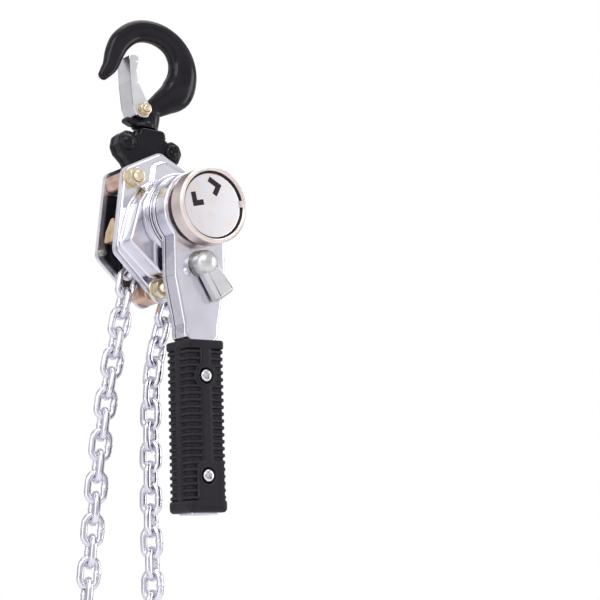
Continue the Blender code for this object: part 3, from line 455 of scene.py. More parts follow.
def plated(name, shades, rough, grain=900.0, bump=0.006, blotch=55.0, stretch=None):
    """Plated or bare metal: cloudy shades, uneven gloss and a fine grain."""
    made = Finish(name)
    cloud = made.noise(blotch, 3.0)
    fine = made.noise(grain, 4.0, 0.5, stretch)
    low, middle, high = shades
    made.set("Base Color", made.ramp(cloud, [(0.30, low), (0.5, middle), (0.72, high)]))
    made.set("Roughness", made.spread(made.noise(grain / 5, 3.0), *rough))
    made.set("Metallic", 1.0)
    made.bump(fine, 0.15, bump * MM)
    return made.material


def painted(name, shade, worn, rough, grain, bump):
    """Black paint or moulded plastic: fine orange peel, faint dust and paler edges."""
    made = Finish(name)
    cloud = made.noise(70.0, 4.0)
    fine = made.noise(grain, 5.0, 0.6)
    body = made.ramp(cloud, [(0.35, shade), (0.7, tuple(1.35 * part for part in shade))])
    made.set("Base Color", made.mixed(made.edges(0.54, 0.66), body, worn))
    made.set("Roughness", made.spread(cloud, *rough))
    made.set("Specular IOR Level", 0.22)
    made.bump(fine, 0.4, bump * MM)
    return made.material


ZINC = ((0.74, 0.73, 0.80), (0.79, 0.78, 0.85), (0.84, 0.83, 0.89))
WHITE_ZINC = ((0.68, 0.68, 0.70), (0.76, 0.76, 0.78), (0.83, 0.83, 0.85))
STEEL = ((0.34, 0.33, 0.33), (0.46, 0.45, 0.44), (0.56, 0.55, 0.54))
GOLD = ((0.74, 0.62, 0.45), (0.83, 0.74, 0.56), (0.88, 0.83, 0.70))
BRASS = ((0.62, 0.44, 0.24), (0.76, 0.58, 0.36), (0.86, 0.74, 0.54))
COPPER = ((0.56, 0.36, 0.27), (0.72, 0.50, 0.39), (0.84, 0.68, 0.58))
NICKEL = ((0.74, 0.64, 0.60), (0.82, 0.72, 0.68), (0.88, 0.80, 0.76))
GREY = ((0.56, 0.56, 0.57), (0.66, 0.66, 0.67), (0.74, 0.74, 0.75))
# Black finishes: body shade, worn shade, range of roughness, grain per metre, bump in millimetres.
PAINTS = {
    "hook_black": ((0.010, 0.008, 0.012), (0.022, 0.019, 0.026), (0.12, 0.22), 400.0, 0.02),
    "yoke_black": ((0.006, 0.005, 0.008), (0.018, 0.016, 0.021), (0.12, 0.26), 400.0, 0.03),
    "grip_black": ((0.012, 0.010, 0.014), (0.034, 0.031, 0.038), (0.38, 0.52), 1500.0, 0.04),
}
# Metals: three shades of the cloud, range of roughness, and what differs from the usual grain.
METALS = {
    "latch_zinc": (WHITE_ZINC, (0.30, 0.40), {}),
    "plate_zinc": (ZINC, (0.27, 0.36), {}),
    "cover_zinc": (ZINC, (0.11, 0.18), {}),
    "lever_zinc": (ZINC, (0.16, 0.25), {"stretch": (1.0, 1.0, 0.25)}),
    "disc_zinc": (WHITE_ZINC, (0.18, 0.28), {}),
    "screw_zinc": (WHITE_ZINC, (0.12, 0.22), {}),
    "chain_zinc": (ZINC, (0.18, 0.30), {"blotch": 120.0}),
    "fastener_gold": (GOLD, (0.26, 0.38), {"blotch": 160.0}),
    "spring_steel": (STEEL, (0.25, 0.38), {}),
    "bare_steel": (STEEL, (0.30, 0.44), {}),
    "gear_steel": (STEEL, (0.28, 0.42), {"bump": 0.015}),
    "guide_brass": (BRASS, (0.32, 0.46), {"blotch": 120.0}),
    "guide_copper": (COPPER, (0.32, 0.46), {"blotch": 120.0}),
    "wheel_nickel": (NICKEL, (0.30, 0.42), {"blotch": 70.0}),
    "knob_grey": (GREY, (0.34, 0.46), {"bump": 0.02}),
}


def finishes():
    """One material for each of the record's slots."""
    made = {name: painted(name, *values) for name, values in PAINTS.items()}
    made.update({name: plated(name, shades, rough, **more) for name, (shades, rough, more) in METALS.items()})
    made["friction_lining"] = lining()
    made["face_nickel"] = face_nickel()
    return made


def lining():
    """Pressed friction material: dark binder with pale and coppery specks."""
    made = Finish("friction_lining")
    specks = made.noise(2200.0, 2.0, 0.7)
    stops = [(0.35, (0.06, 0.05, 0.045)), (0.55, (0.13, 0.10, 0.085)), (0.72, (0.36, 0.25, 0.18))]
    made.set("Base Color", made.ramp(specks, stops))
    made.set("Roughness", made.spread(specks, 0.7, 0.9))
    made.bump(specks, 0.5, 0.08 * MM)
    return made.material


def face_nickel():
    """The cap's satin nickel: warm and cool clouds under a fine grain."""
    made = Finish("face_nickel")
    cloud = made.noise(150.0, 4.0, 0.6)
    other = made.noise(80.0, 3.0, 0.5)
    stops = [(0.38, (0.86, 0.82, 0.84)), (0.54, (0.86, 0.78, 0.76)), (0.68, (0.84, 0.70, 0.58))]
    warm = made.ramp(cloud, stops)
    made.set("Base Color", made.mixed(made.spread(other, 0.0, 1.0), warm, (0.82, 0.83, 0.88)))
    fine = made.noise(1600.0, 5.0)
    made.set("Roughness", made.spread(fine, 0.30, 0.44))
    made.set("Metallic", 1.0)
    made.bump(fine, 0.3, 0.02 * MM)
    return made.material


FINISHES = finishes()
LEVER_LEAN = 7.65


def leant(mesh):
    """Lean a mesh made with the lever straight down to the lever's rest angle."""
    about = Matrix.Rotation(math.radians(-LEVER_LEAN), 4, "Y")
    mesh.transform(Matrix.Translation(AXIS) @ about @ Matrix.Translation(-AXIS))
    return mesh


def dress(obj, slot):
    obj.data.materials.clear()
    obj.data.materials.append(FINISHES[slot])
    return obj


def piece(name, shape, body, slot, replaces=None, sharp=42.0):
    """Finish a shape: smooth shading that keeps flats flat, its material, and the body it rides on.

    A piece named for a node and one more word replaces that node, unless `replaces` lists others.
    What rides on the lever leans with it.
    """
    mesh = shape.mesh(name)
    if body in ("lever", "selector"):
        leant(mesh)
    mesh.shade_smooth()
    mesh.set_sharp_from_angle(angle=math.radians(sharp))
    obj = added(name, mesh)
    weighted = obj.modifiers.new("weighted normals", "WEIGHTED_NORMAL")
    weighted.keep_sharp = True
    weighted.weight = 80
    dress(obj, slot)
    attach(obj, body)
    if replaces is None:
        node = name.rpartition("_")[0]
        replaces = [node] if node in frame["nodes"] else []
    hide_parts(*replaces)
    return obj


# Chain

CHAIN_PITCH = 12.0
CHAIN_WIRE = 2.0
CHAIN_RADIUS = 15.8
STRAND_TOP = -22.0
HANK_TOP = -335.0
HANK_X = 22.6
LOAD_ROUTE = [(-15.8, 0.0, STRAND_TOP), (-17.8, 0.0, -48.0), (-20.6, 0.0, -80.0), (-22.7, 0.0, -113.0),
              (-23.1, 0.0, -150.0), (-22.4, 0.0, -187.0), (-21.6, 0.0, -222.0)]
SLACK_ROUTE = [(15.8, 0.0, STRAND_TOP), (12.6, 0.0, -42.0), (8.3, 0.0, -62.0), (5.9, 0.0, -84.0),
               (6.3, 0.0, -104.0), (8.8, 0.0, -128.0), (14.0, 0.0, -172.0), (18.2, 0.0, -201.0),
               (21.2, 0.0, -235.0), (22.4, 0.0, -285.0), (HANK_X, 0.0, HANK_TOP)]
# The hank's runs, as x and y from its middle, in the order in which the chain follows them.
HANK_RUNS = [(0.0, 0.0), (-15.9, 14.8), (-15.9, -14.8), (15.9, -14.8), (15.9, 14.8)]
HANK_LOW = -534.5
HANK_HIGH = -357.5


def link(shape, centre, along, side):
    """One welded link whose plane holds `along` and `side`."""
    straight, bend = 3.2, 4.8
    path = []
    for middle, first in ((straight, -90.0), (-straight, 90.0)):
        path += [(*swung(bend, angle, middle), angle, 1.0) for angle in arc(first, 180.0, 9)]
        if middle > 0:
            # The weld's swelling in the middle of one straight side.
            for across, factor in ((1.3, 1.0), (0.7, 1.1), (0.0, 1.14), (-0.7, 1.1), (-1.3, 1.0)):
                path.append((across, bend, math.pi / 2, factor))
    normal = along.cross(side)
    loops = []
    for u, v, angle, factor in path:
        out = along * math.cos(angle) + side * math.sin(angle)
        point = centre + along * u + side * v
        loops.append([tuple(point + (out * math.cos(a) + normal * math.sin(a)) * CHAIN_WIRE * factor)
                      for a in full_turn(10)])
    shape.loft(loops, ring=True)


def chain_links(shape, route, first_turn, twist):
    """Links hooked into each other along a route; twist is (start, end, degrees at the end)."""
    total = route_length(route)
    count = round(total / CHAIN_PITCH)
    pitch = total / count
    side = Vector((0.0, 1.0, 0.0))
    walked = 0.0
    start, end, degrees = twist
    for index in range(count):
        middle = (index + 0.5) * pitch
        while walked < middle:
            walked = min(walked + 2.0, middle)
            point, along = point_along(route, walked)
            side = (side - along * side.dot(along)).normalized()
        share = min(max((middle - start) / (end - start), 0.0), 1.0)
        turn = math.radians(first_turn + 90.0 * (index % 2) + degrees * share)
        link(shape, point, along, Matrix.Rotation(turn, 3, along) @ side)


def hank_route():
    """The folded rest of the slack chain, from the strand's end to the end ring."""
    points = [Vector((HANK_X, 0.0, z)) for z in (HANK_TOP, HANK_TOP - 30.0)]
    for index, runs in enumerate(zip(HANK_RUNS, HANK_RUNS[1:])):
        level, up = (HANK_HIGH, 1) if index % 2 else (HANK_LOW, -1)
        here, there = [Vector((HANK_X + x, y, level)) for x, y in runs]
        half = (here - there) / 2
        for angle in arc(0.0, 180.0, 12):
            swing = Vector((0.0, 0.0, up * half.length * math.sin(angle)))
            points.append((here + there) / 2 + half * math.cos(angle) + swing)
    x, y = HANK_RUNS[-1]
    tail = [(x, y, -500.0), (x + 2.0, y - 3.0, -510.0), (23.0, 4.0, -520.0), (27.5, 0.0, -526.0)]
    return points + [Vector((HANK_X + across, deep, z)) for across, deep, z in tail]


def route_in_metres(points):
    return [tuple(metres(*point)) for point in points]


def dense(points, spacing):
    """A route cut into even steps."""
    count = max(2, round(route_length(points) / spacing))
    total = route_length(points)
    return [point_along(points, total * i / count)[0] for i in range(count + 1)]


def make_chains():
    """Both strands as links with what hangs on them, and the links that lie on the sheave."""
    load = dense(smooth(LOAD_ROUTE), 4.0)
    slack = dense(smooth(SLACK_ROUTE) + hank_route()[1:], 4.0)
    bend = [swung(CHAIN_RADIUS, angle) for angle in arc(180.0, -180.0, 24)]
    over = [Vector((x, 0.0, z)) for x, z in [(-CHAIN_RADIUS, STRAND_TOP), *bend, (CHAIN_RADIUS, STRAND_TOP)]]

    shape = Shape()
    chain_links(shape, load, 0.0, (20.0, 120.0, 12.0))
    load_strand = piece("load_chain_links", shape, "load_strand", "chain_zinc")
    shape = Shape()
    chain_links(shape, slack, 90.0, (10.0, 110.0, -34.0))
    stood_for = ("slack_chain", "chain_hank")
    slack_strand = piece("slack_chain_links", shape, "slack_strand", "chain_zinc", stood_for)
    shape = Shape()
    chain_links(shape, over, 90.0, (0.0, 1.0, 0.0))
    piece("sheave_chain_links", shape, "frame", "chain_zinc")
    tie = hank_tie()

    route_length(load) * MM
    route_in_metres(load)
    load_fittings()
    route_length(slack) * MM
    route_in_metres(slack)


def hank_tie():
    """A flat strap round the middle of the hank, with its buckle."""
    half_x, half_y, low, high = 22.6, 21.6, -452.0, -446.0
    corners = [(-half_x, -half_y), (half_x, -half_y), (half_x, half_y), (-half_x, half_y)]
    outer = rounded(corners, 7.5, 6)
    inner = inset(anticlockwise(outer), 1.0)
    shape = Shape()
    loops = []
    for points, z in ((outer, low), (outer, high), (inner, high), (inner, low)):
        loops.append([(HANK_X + x, y, z) for x, y in points])
    shape.loft(loops, ring=True)
    near = -half_y - 1.6
    far = -half_y + 1.6
    buckle = rounded([(-4.0, near), (4.0, near), (4.0, far), (-4.0, far)], 0.8, 3)
    shape.loft([[(HANK_X + x, y, z) for x, y in buckle] for z in (low - 1.5, high + 1.5)])
    return piece("hank_tie", shape, "slack_strand", "grip_black")


# The block and pin that join the load chain to the bottom hook.
BOTTOM_X = -21.6
BOTTOM_DROP = -290.0


def load_fittings():
    """The block's two cheeks and the base between them."""
    corners = [(-9.6, 37.8), (9.6, 37.8), (10.4, 53.0), (5.5, 67.6), (-5.5, 67.6), (-10.4, 53.0)]
    cheek = rounded(shifted(corners, BOTTOM_X, BOTTOM_DROP), 3.0, 4)
    base = shifted([(-9.6, 37.8), (9.6, 37.8), (10.4, 53.0), (-10.4, 53.0)], BOTTOM_X, BOTTOM_DROP)
    shape = Shape()
    for faces in ((-8.6, -3.0), (3.0, 8.6)):
        shape.plate(cheek, faces, 1.0)
    shape.plate(rounded(base, 1.5, 3), (-8.2, 8.2), 0.8)
    block = piece("bottom_yoke_body", shape, "load_strand", "yoke_black")
    return [block, frame["nodes"]["chain_pin"]]


make_chains()


# Hooks and latches

HOOK_SPINE = [(1.4, -36.6, 7.0), (1.6, -32.0, 7.2), (2.4, -28.0, 6.9), (4.6, -23.4, 6.0), (11.0, -17.4, 7.6),
              (19.0, -9.6, 9.9), (22.0, 1.0, 9.2), (20.1, 11.2, 8.1), (13.8, 18.9, 7.2), (4.5, 22.8, 6.8),
              (-5.5, 22.8, 6.6), (-14.3, 19.2, 6.5), (-21.2, 12.0, 6.4), (-24.4, 4.0, 5.8),
              (-26.1, -4.0, 4.8), (-28.6, -9.0, 3.8), (-30.3, -11.8, 3.0)]
HOOK_FLATTENING = 0.68
TIP_FLATTENING = 0.8
LATCH_PIVOT = (-5.0, -27.5)
LATCH_HALF = 7.2
CHEEK_CORNERS = [(-18.3, 2.5), (-12.2, 4.2), (-11.6, 0.0), (-12.4, -6.0), (-10.2, -12.5), (-4.8, -20.0),
                 (-0.2, -26.0), (-2.0, -32.0), (-8.0, -32.5), (-12.2, -27.0), (-15.8, -12.0)]
WEB_CORNERS = [(-18.3, 2.5), (-17.0, 2.8), (-14.5, -11.7), (-10.9, -26.6), (-8.4, -31.2), (-9.4, -32.2),
               (-12.2, -27.0), (-15.8, -12.0)]


class Hook:
    """Where a hook hangs: its bowl's centre, and 1 for upright or -1 for upside down."""

    def __init__(self, x, z, flip):
        self.x = x
        self.z = z
        self.flip = flip

    def at(self, x, z):
        return self.x + x, self.z + self.flip * z

    def placed(self, points):
        return [self.at(*point) for point in points]


TOP_HOOK = Hook(-16.4, 90.5, 1)
BOTTOM_HOOK = Hook(BOTTOM_X, BOTTOM_DROP, -1)


def hook_section(hook, point, along, half, depth, power=2.6):
    """A rounded, slightly boxy section across the hook's bar."""
    across = Vector((along.y, -along.x))
    loop = []
    for angle in full_turn(28):
        c, s = math.cos(angle), math.sin(angle)
        u = math.copysign(abs(c) ** (2 / power), c) * half
        v = math.copysign(abs(s) ** (2 / power), s) * depth
        x, z = hook.at(point.x + across.x * u, point.y + across.y * u)
        loop.append((x, v, z))
    return loop


def hook_body(name, hook, body):
    spine = smooth(HOOK_SPINE, 6)
    loops = []
    for index, knot in enumerate(spine):
        before = spine[max(index - 1, 0)]
        after = spine[min(index + 1, len(spine) - 1)]
        along = (after.xy - before.xy).normalized()
        loops.append(hook_section(hook, knot.xy, along, knot.z, knot.z * HOOK_FLATTENING))
    tip = spine[-1]
    for turn in (25.0, 50.0, 70.0, 84.0):
        half = tip.z * math.cos(math.radians(turn))
        ahead = tip.xy + along * tip.z * TIP_FLATTENING * math.sin(math.radians(turn))
        loops.append(hook_section(hook, ahead, along, half, half * TIP_FLATTENING, power=2.2))
    shape = Shape().loft(loops)
    shape.plate(circle(*hook.at(*LATCH_PIVOT), 4.6), (-3.6, 3.6), 0.6)
    heel = [(-4.0, -31.5), (-9.5, -32.9), (-13.6, -32.7), (-13.9, -35.6), (-9.0, -37.0), (-4.0, -36.9)]
    shape.plate(rounded(hook.placed(heel), 1.5, 4), (-3.4, 3.4), 1.2, steps=3)
    stem = [(0.0, -33.0), (6.0, -33.0), (7.4, -34.8), (7.4, -37.0), (3.8, -37.4), (3.8, -45.6), (6.3, -45.6),
            (6.3, -50.0), (0.0, -50.0)]
    stem = eased([(radius, hook.z + hook.flip * height) for radius, height in stem], 0.5, 2)
    shape.turned(stem, (hook.x, 0.0), 48, axis="Z")
    return piece(name, shape, body, "hook_black", sharp=60.0)


def latch_body(name, hook, body):
    cheek = hook.placed(rounded(CHEEK_CORNERS, 3.2, 5))
    web = hook.placed(rounded(WEB_CORNERS, 0.3, 1))
    hole = circle(*hook.at(*LATCH_PIVOT), 2.3, 24)
    shape = Shape()
    for face in (-LATCH_HALF, LATCH_HALF - 1.3):
        shape.plate(cheek, (face, face + 1.3), 0.35, [hole])
    shape.plate(web, (-LATCH_HALF + 0.2, LATCH_HALF - 0.2), 0.3, steps=1)
    return piece(name + "_body", shape, body, "latch_zinc")


def latch_bolt(name, hook, body):
    at = hook.at(*LATCH_PIVOT)
    reach = LATCH_HALF + 0.3
    shape = Shape()
    profile = [(0.0, reach + 2.4), (2.2, reach + 2.3), (3.4, reach + 1.4), (3.7, reach), (2.0, reach),
               (2.0, -reach - 3.0), (1.5, -reach - 3.6), (0.0, -reach - 3.6)]
    shape.turned(eased(profile, 0.25, 2), at, 36)
    shape.nut(at, -reach - 2.7, -reach - 0.5, 6.4, 2.0, 20.0)
    shape.turned([(2.1, -reach), (4.0, -reach), (4.0, -reach - 0.5), (2.1, -reach - 0.5)], at, 36, ring=True)
    return piece(name + "_body", shape, body, "fastener_gold")


def latch_spring():
    """Torsion spring wound round the latch bolt beside the lug, one leg against the latch."""
    x, z = TOP_HOOK.at(*LATCH_PIVOT)
    points = []
    for step in range(37):
        angle = -2 * math.pi * step / 24
        points.append((x + 2.9 * math.cos(angle), 5.15 + 0.014 * step, z + 2.9 * math.sin(angle)))
    points.append((x - 4.4, 5.65, z + 7.0))
    shape = Shape().tube(points, 0.28, 8)
    return piece("top_latch_spring_wire", shape, "top_latch", "spring_steel")


def make_hooks():
    for end, hook, body in (("top", TOP_HOOK, "hook"), ("bottom", BOTTOM_HOOK, "bottom_hook")):
        hook_body(f"{end}_hook_body", hook, body)
        latch_body(f"{end}_latch", hook, f"{end}_latch")
        latch_bolt(f"{end}_latch_bolt", hook, body)
        if hook is TOP_HOOK:
            latch_spring()


# Yoke

YOKE_X = -16.4
YOKE_CORNERS = [(-5.4, 52.4), (10.8, 53.6), (11.6, 46.6), (15.6, 48.8), (20.8, 47.2), (23.2, 42.5),
                (21.6, 36.6), (15.5, 30.8), (8.0, 23.6), (-6.4, 23.6), (-11.6, 30.6), (-16.8, 34.4),
                (-19.2, 38.6), (-18.8, 44.4), (-15.2, 48.0), (-11.0, 48.0), (-7.6, 45.4)]
YOKE_BODY = [(-5.4, 52.4), (10.4, 52.6), (10.4, 26.0), (8.0, 23.6), (-6.4, 23.6), (-8.7, 26.0), (-8.0, 45.0)]
YOKE_EARS = {"left": (-13.4, 41.2), "right": (16.0, 41.6)}
EAR_RIDGES = {"left": -58.0, "right": 122.0}
YOKE_DEPTH = 7.8
REAR_EAR_DEPTH = 5.0


def yoke_half(name, side):
    outline = shifted(rounded(YOKE_CORNERS, 3.0, 5), YOKE_X)
    if side > 0:
        shape = Shape().plate(outline, (0.15, REAR_EAR_DEPTH), 1.6, steps=4)
        body = shifted(rounded(YOKE_BODY, 2.4, 5), YOKE_X)
        shape.plate(body, (0.15, YOKE_DEPTH), 1.8, steps=4)
        return piece(name + "_body", shape, "frame", "yoke_black")
    shape = Shape().plate(outline, (-0.15, -YOKE_DEPTH), 1.8, steps=4)
    for place, first in EAR_RIDGES.items():
        ear_x, ear_z = YOKE_EARS[place]
        for radius in (7.2, 9.2):
            ridge = [swung(radius, angle, YOKE_X + ear_x, ear_z) for angle in arc(first, 116.0, 14)]
            swell = [0.2 + 0.5 * math.sin(angle) for angle in arc(0.0, 180.0, 14)]
            shape.tube([(x, 0.3 - YOKE_DEPTH, z) for x, z in ridge], 0.7, 8, swell)
    return piece(name + "_body", shape, "frame", "yoke_black")


def yoke_rivet(place, at):
    head = [(0.0, 3.2), (1.6, 3.1), (3.3, 2.4), (4.7, 1.2), (5.2, 0.0)]
    if place == "right":
        head = [(0.0, 0.6), (1.6, 0.7), (2.4, 1.5), (3.0, 2.1), (3.9, 2.0), (4.6, 1.1), (4.9, 0.0)]
    front = -YOKE_DEPTH - 0.1
    rear = REAR_EAR_DEPTH + 0.1
    profile = [(radius, front - height) for radius, height in head]
    profile += [(2.5, front), (2.5, rear), (4.4, rear)]
    profile += [(4.1, rear + 0.9), (3.0, rear + 1.7), (0.0, rear + 2.0)]
    shape = Shape().turned(profile, (YOKE_X + at[0], at[1]), 40)
    return piece(f"yoke_rivet_{place}_body", shape, "frame", "yoke_black", sharp=50.0)


def make_yoke():
    yoke_half("yoke_front", -1)
    yoke_half("yoke_rear", 1)
    for place, at in YOKE_EARS.items():
        yoke_rivet(place, at)


# Frame

PLATE_CORNERS = [(-11.0, 38.5), (-34.0, 23.5), (-34.0, -26.0), (-1.0, -51.0), (34.0, -26.0), (34.0, 21.0)]
PLATE_ROUND = 6.0
FRONT_PLATE = (-12.0, -9.2)
REAR_PLATE = (8.2, 11.0)
FLANGE_SHARE = 0.965
CUP_ROUND = 3.0
CUP_FILLET = 1.6
END_ROUND = 2.5
PANEL_DROP = 0.7
CUP_CORNERS = [(-10.0, 32.0), (-15.8, 28.5), (-16.2, 18.2), (-22.5, 13.0), (-28.0, 2.0), (-31.5, -21.5),
               (-11.0, -35.5), (8.0, -35.5), (31.0, -21.5), (31.0, 3.5), (20.8, 12.2), (18.5, 24.0)]
GEAR_CUP_CORNERS = [(-11.3, 30.2), (-17.8, 21.4), (-18.3, -13.2), (-7.6, -29.7), (10.4, -30.1), (18.2, -17.7),
                    (17.7, 16.3), (9.2, 29.8)]
STAYS = {"upper_left": (-28.0, 18.0), "upper_right": (27.5, 16.5), "bottom": (-4.0, -42.5)}
PAWL_PIVOT = (24.4, -17.4)
PAWL_TURNS = (0.0, -108.0)
STUB_AT = (-2.674, 15.166)
SHEET = 1.5
COVER_FACE = -12.3
COVER_RIM = -26.0
COVER_STEP = -17.2
STEP_HEIGHT = 14.5
STEP_BLEND = 7.0
DRUM_BORE = 21.9
DRUM_TURNS = arc(25.0, 132.0, 44)
GEAR_FACE = 11.3
GEAR_BACK = 31.0


def side_plate(name, faces, extra_holes):
    outline = rounded(PLATE_CORNERS, PLATE_ROUND, 8)
    holes = [circle(0.0, 0.0, 12.2, 48)] + [circle(*at, 3.3, 24) for at in STAYS.values()] + extra_holes
    shape = Shape().plate(outline, faces, 0.5, holes)
    return piece(name + "_sheet", shape, "frame", "plate_zinc")


def rim_depth(x, z):
    """How far forward the brake cover's wall reaches at a place: deep below, stepped back at the top."""
    part = min(max((z - STEP_HEIGHT + STEP_BLEND) / STEP_BLEND, 0.0), 1.0)
    part = part * part * (3.0 - 2.0 * part)
    return COVER_RIM + (COVER_STEP - COVER_RIM) * part


def cover_rows(corners, face, out):
    """The flange of a pressed cover and the fillet up to its wall, and the wall's outline by inset."""
    plate = rounded(PLATE_CORNERS, PLATE_ROUND, 8)
    flange = polar(anticlockwise([(x * FLANGE_SHARE, z * FLANGE_SHARE) for x, z in plate]))
    cup_points = anticlockwise(rounded(corners, CUP_ROUND, 6))

    def cup(distance):
        return polar(inset(cup_points, distance))

    rows = [(flange, face), (flange, face + out * (SHEET - 0.4))]
    rows.append((polar(inset(flange, 0.4)), face + out * SHEET))
    for t in QUARTER:
        rise = SHEET + CUP_FILLET * (1 - math.cos(t))
        rows.append((cup(-CUP_FILLET * (1 - math.sin(t))), face + out * rise))
    return rows, cup


def brake_cover():
    """The front cover: a drawn cup, stepped back at the top, with a banded drum round its opening; black
    rings paint shade in the drum's grooves.
    """
    rows, cup = cover_rows(CUP_CORNERS, COVER_FACE, -1)
    loops = [[(x, y, z) for x, z in points] for points, y in rows]
    hole = circle(0.0, 0.0, DRUM_BORE, 240)
    walls = [(cup(-0.3), 2.0), (cup(-0.3), 1.2), (cup(0.0), 0.4), (cup(0.7), 0.0), (cup(1.6), 0.0)]
    walls += [(hole, 0.0), (hole, SHEET), (cup(SHEET), SHEET)]
    loops += [[(x, rim_depth(x, z) + back, z) for x, z in points] for points, back in walls]
    loops.append([(x, COVER_FACE, z) for x, z in cup(SHEET)])
    shape = Shape().loft(loops, ring=True)
    rim = [(DRUM_BORE, -25.2), (24.2, -25.2), (24.5, -25.8), (24.5, -26.6), (24.1, -27.0), (23.2, -27.2),
           (22.8, -27.6), (22.8, -28.3), (22.5, -28.6), (DRUM_BORE, -28.6)]
    shape.turned(rim, steps=120, ring=True)
    bands = [(DRUM_BORE, -15.8), (23.6, -15.8), (24.0, -16.4), (24.0, -18.2), (23.5, -18.8), (23.0, -19.0),
             (23.0, -20.0), (23.6, -20.3), (24.3, -20.7), (24.5, -21.2), (24.5, -22.6), (24.1, -23.2),
             (23.2, -23.4), (23.2, -24.0), (24.2, -24.4), (24.5, -25.0), (24.5, -26.0), (DRUM_BORE, -26.0)]
    shape.swept(bands, DRUM_TURNS)
    piece("brake_cover_sheet", shape, "frame", "cover_zinc")
    # Black rings in the drum's grooves and at its rim's step: painted shade for the dark lines between the
    # bands.
    shape = Shape().collar(22.0, 23.1, (-28.2, -27.6), 0.1, fineness=1)
    for front, back in ((-24.0, -23.4), (-20.0, -19.2)):
        shape.swept([(22.8, back), (23.5, back), (23.5, front), (22.8, front)], DRUM_TURNS)
    piece("drum_seals", shape, "frame", "grip_black")


def gear_cover():
    """The rear cover: a closed, hollow cup with a shallow panel pressed into its end."""
    flange_rows, cup = cover_rows(GEAR_CUP_CORNERS, GEAR_FACE, 1)
    panel = GEAR_BACK - PANEL_DROP
    end = panel - SHEET
    rows = [(cup(9.0), end), (cup(SHEET + 1.0), end), (cup(SHEET), end - 1.0), (cup(SHEET), GEAR_FACE)]
    rows += flange_rows
    rows += [(cup(END_ROUND * (1 - math.cos(t))), GEAR_BACK - END_ROUND * (1 - math.sin(t))) for t in QUARTER]
    rows += [(cup(5.5), GEAR_BACK), (cup(6.3), panel), (cup(9.0), panel)]
    shape = Shape().loft([[(x, y, z) for x, z in points] for points, y in rows])
    piece("gear_cover_sheet", shape, "frame", "cover_zinc")


def stay(place, at):
    """Shouldered stay with a threaded end, its head behind and its nut and washer in front."""
    thread = []
    for turn in range(4):
        y = -22.9 + 0.75 * turn
        thread += [(2.7, y), (3.0, y + 0.35)]
    profile = [(0.0, -23.5), (2.3, -23.5), *thread, (3.0, -9.0), (4.0, -9.0), (4.0, 7.9), (3.0, 7.9),
               (3.0, 13.1), (3.7, 13.1), (3.7, 14.2), (3.2, 14.6), (0.0, 14.7)]
    shape = Shape().turned(profile, at, 40)
    shape.turned(eased([(3.1, -14.0), (6.3, -14.0), (6.3, -14.8), (3.1, -14.8)], 0.2, 1), at, 40, ring=True)
    piece(f"stay_{place}_bolt", shape, "frame", "fastener_gold")
    shape = Shape().nut(at, -20.6, -14.9, 9.4, 3.0, 8.0)
    piece(f"stay_{place}_nut", shape, "frame", "fastener_gold", (f"stay_nut_{place}",))


def chain_guides():
    """The brass guide, the copper sleeve and stripper, the guide's rivet, and a black sheet of painted shade
    on the rear plate's inner face.
    """
    corners = [(-8.9, -18.5), (3.6, -18.5), (3.0, -12.0), (-1.6, -4.6), (-4.4, -4.6), (-8.9, -12.0)]
    side = anticlockwise(rounded(corners, 1.2, 4))
    widths = ((0.7, -32.8), (0.0, -32.3), (0.0, -28.2), (0.7, -27.7))
    shape = Shape().loft([[(x, y, z) for y, z in inset(side, depth)] for depth, x in widths])
    piece("chain_guide_body", shape, "frame", "guide_brass")
    sleeve = [(4.1, -8.8), (5.3, -8.8), (5.7, -8.2), (5.7, -3.0), (5.5, -2.6), (5.5, 1.6), (5.7, 2.0),
              (5.7, 7.2), (5.3, 7.8), (4.1, 7.8)]
    shape = Shape().turned(sleeve, STAYS["upper_left"], 48, ring=True)
    piece("upper_guide_body", shape, "frame", "guide_copper")
    corners = [(-3.0, -24.5), (3.0, -24.5), (5.2, -38.0), (3.2, -48.0), (-9.4, -47.6), (-9.6, -38.0)]
    hole = circle(*STAYS["bottom"], 4.2)
    shape = Shape().plate(rounded(corners, 1.8, 4), (-8.9, 7.9), 0.8, [hole], steps=3)
    piece("chain_stripper_body", shape, "frame", "guide_copper")
    rivet = [(0.0, 4.6), (1.1, 4.6), (1.1, 5.2), (2.0, 5.2), (2.0, 8.2), (0.0, 8.2)]
    shape = Shape().turned(eased(rivet, 0.2, 2), (-31.0, -23.0), 24)
    piece("guide_rivet", shape, "frame", "bare_steel")
    # A black sheet inside the rear plate round the sheave: painted shade for the dark between the plates.
    shade_outline = [swung(22.0, angle) for angle in arc(237.0, -87.0, 15)]
    shade_outline += [(-21.5, 12.6), (-31.6, 11.4), (-31.6, -12.5), (-29.0, -20.0), (-29.0, -26.4), (-16.0, -35.4)]
    piece("chain_liner", Shape().plate(shade_outline, (7.2, 8.1), 0.2, steps=1), "frame", "yoke_black")


def make_frame():
    pin_holes = [circle(*rotated([PAWL_PIVOT], turn)[0], 2.3, 24) for turn in PAWL_TURNS]
    stub_holes = [circle(*rotated([STUB_AT], turn)[0], 2.7, 24) for turn in (0.0, 180.0)]
    side_plate("side_plate_front", FRONT_PLATE, pin_holes)
    side_plate("side_plate_rear", REAR_PLATE, stub_holes)
    brake_cover()
    gear_cover()
    for place, at in STAYS.items():
        stay(place, at)
    chain_guides()


# Drive

RATCHET_TEETH = 20
RATCHET_TIP = 21.5
RATCHET_ROOT = 19.9
STEEP_FACE_ANGLE = -11.8
STEEP_FACE_SPREAD = 0.6
CHANGE_TEETH = 12
CHANGE_TIP = 14.6
CHANGE_ROOT = 11.6
NOSE_ANGLE = 6.15


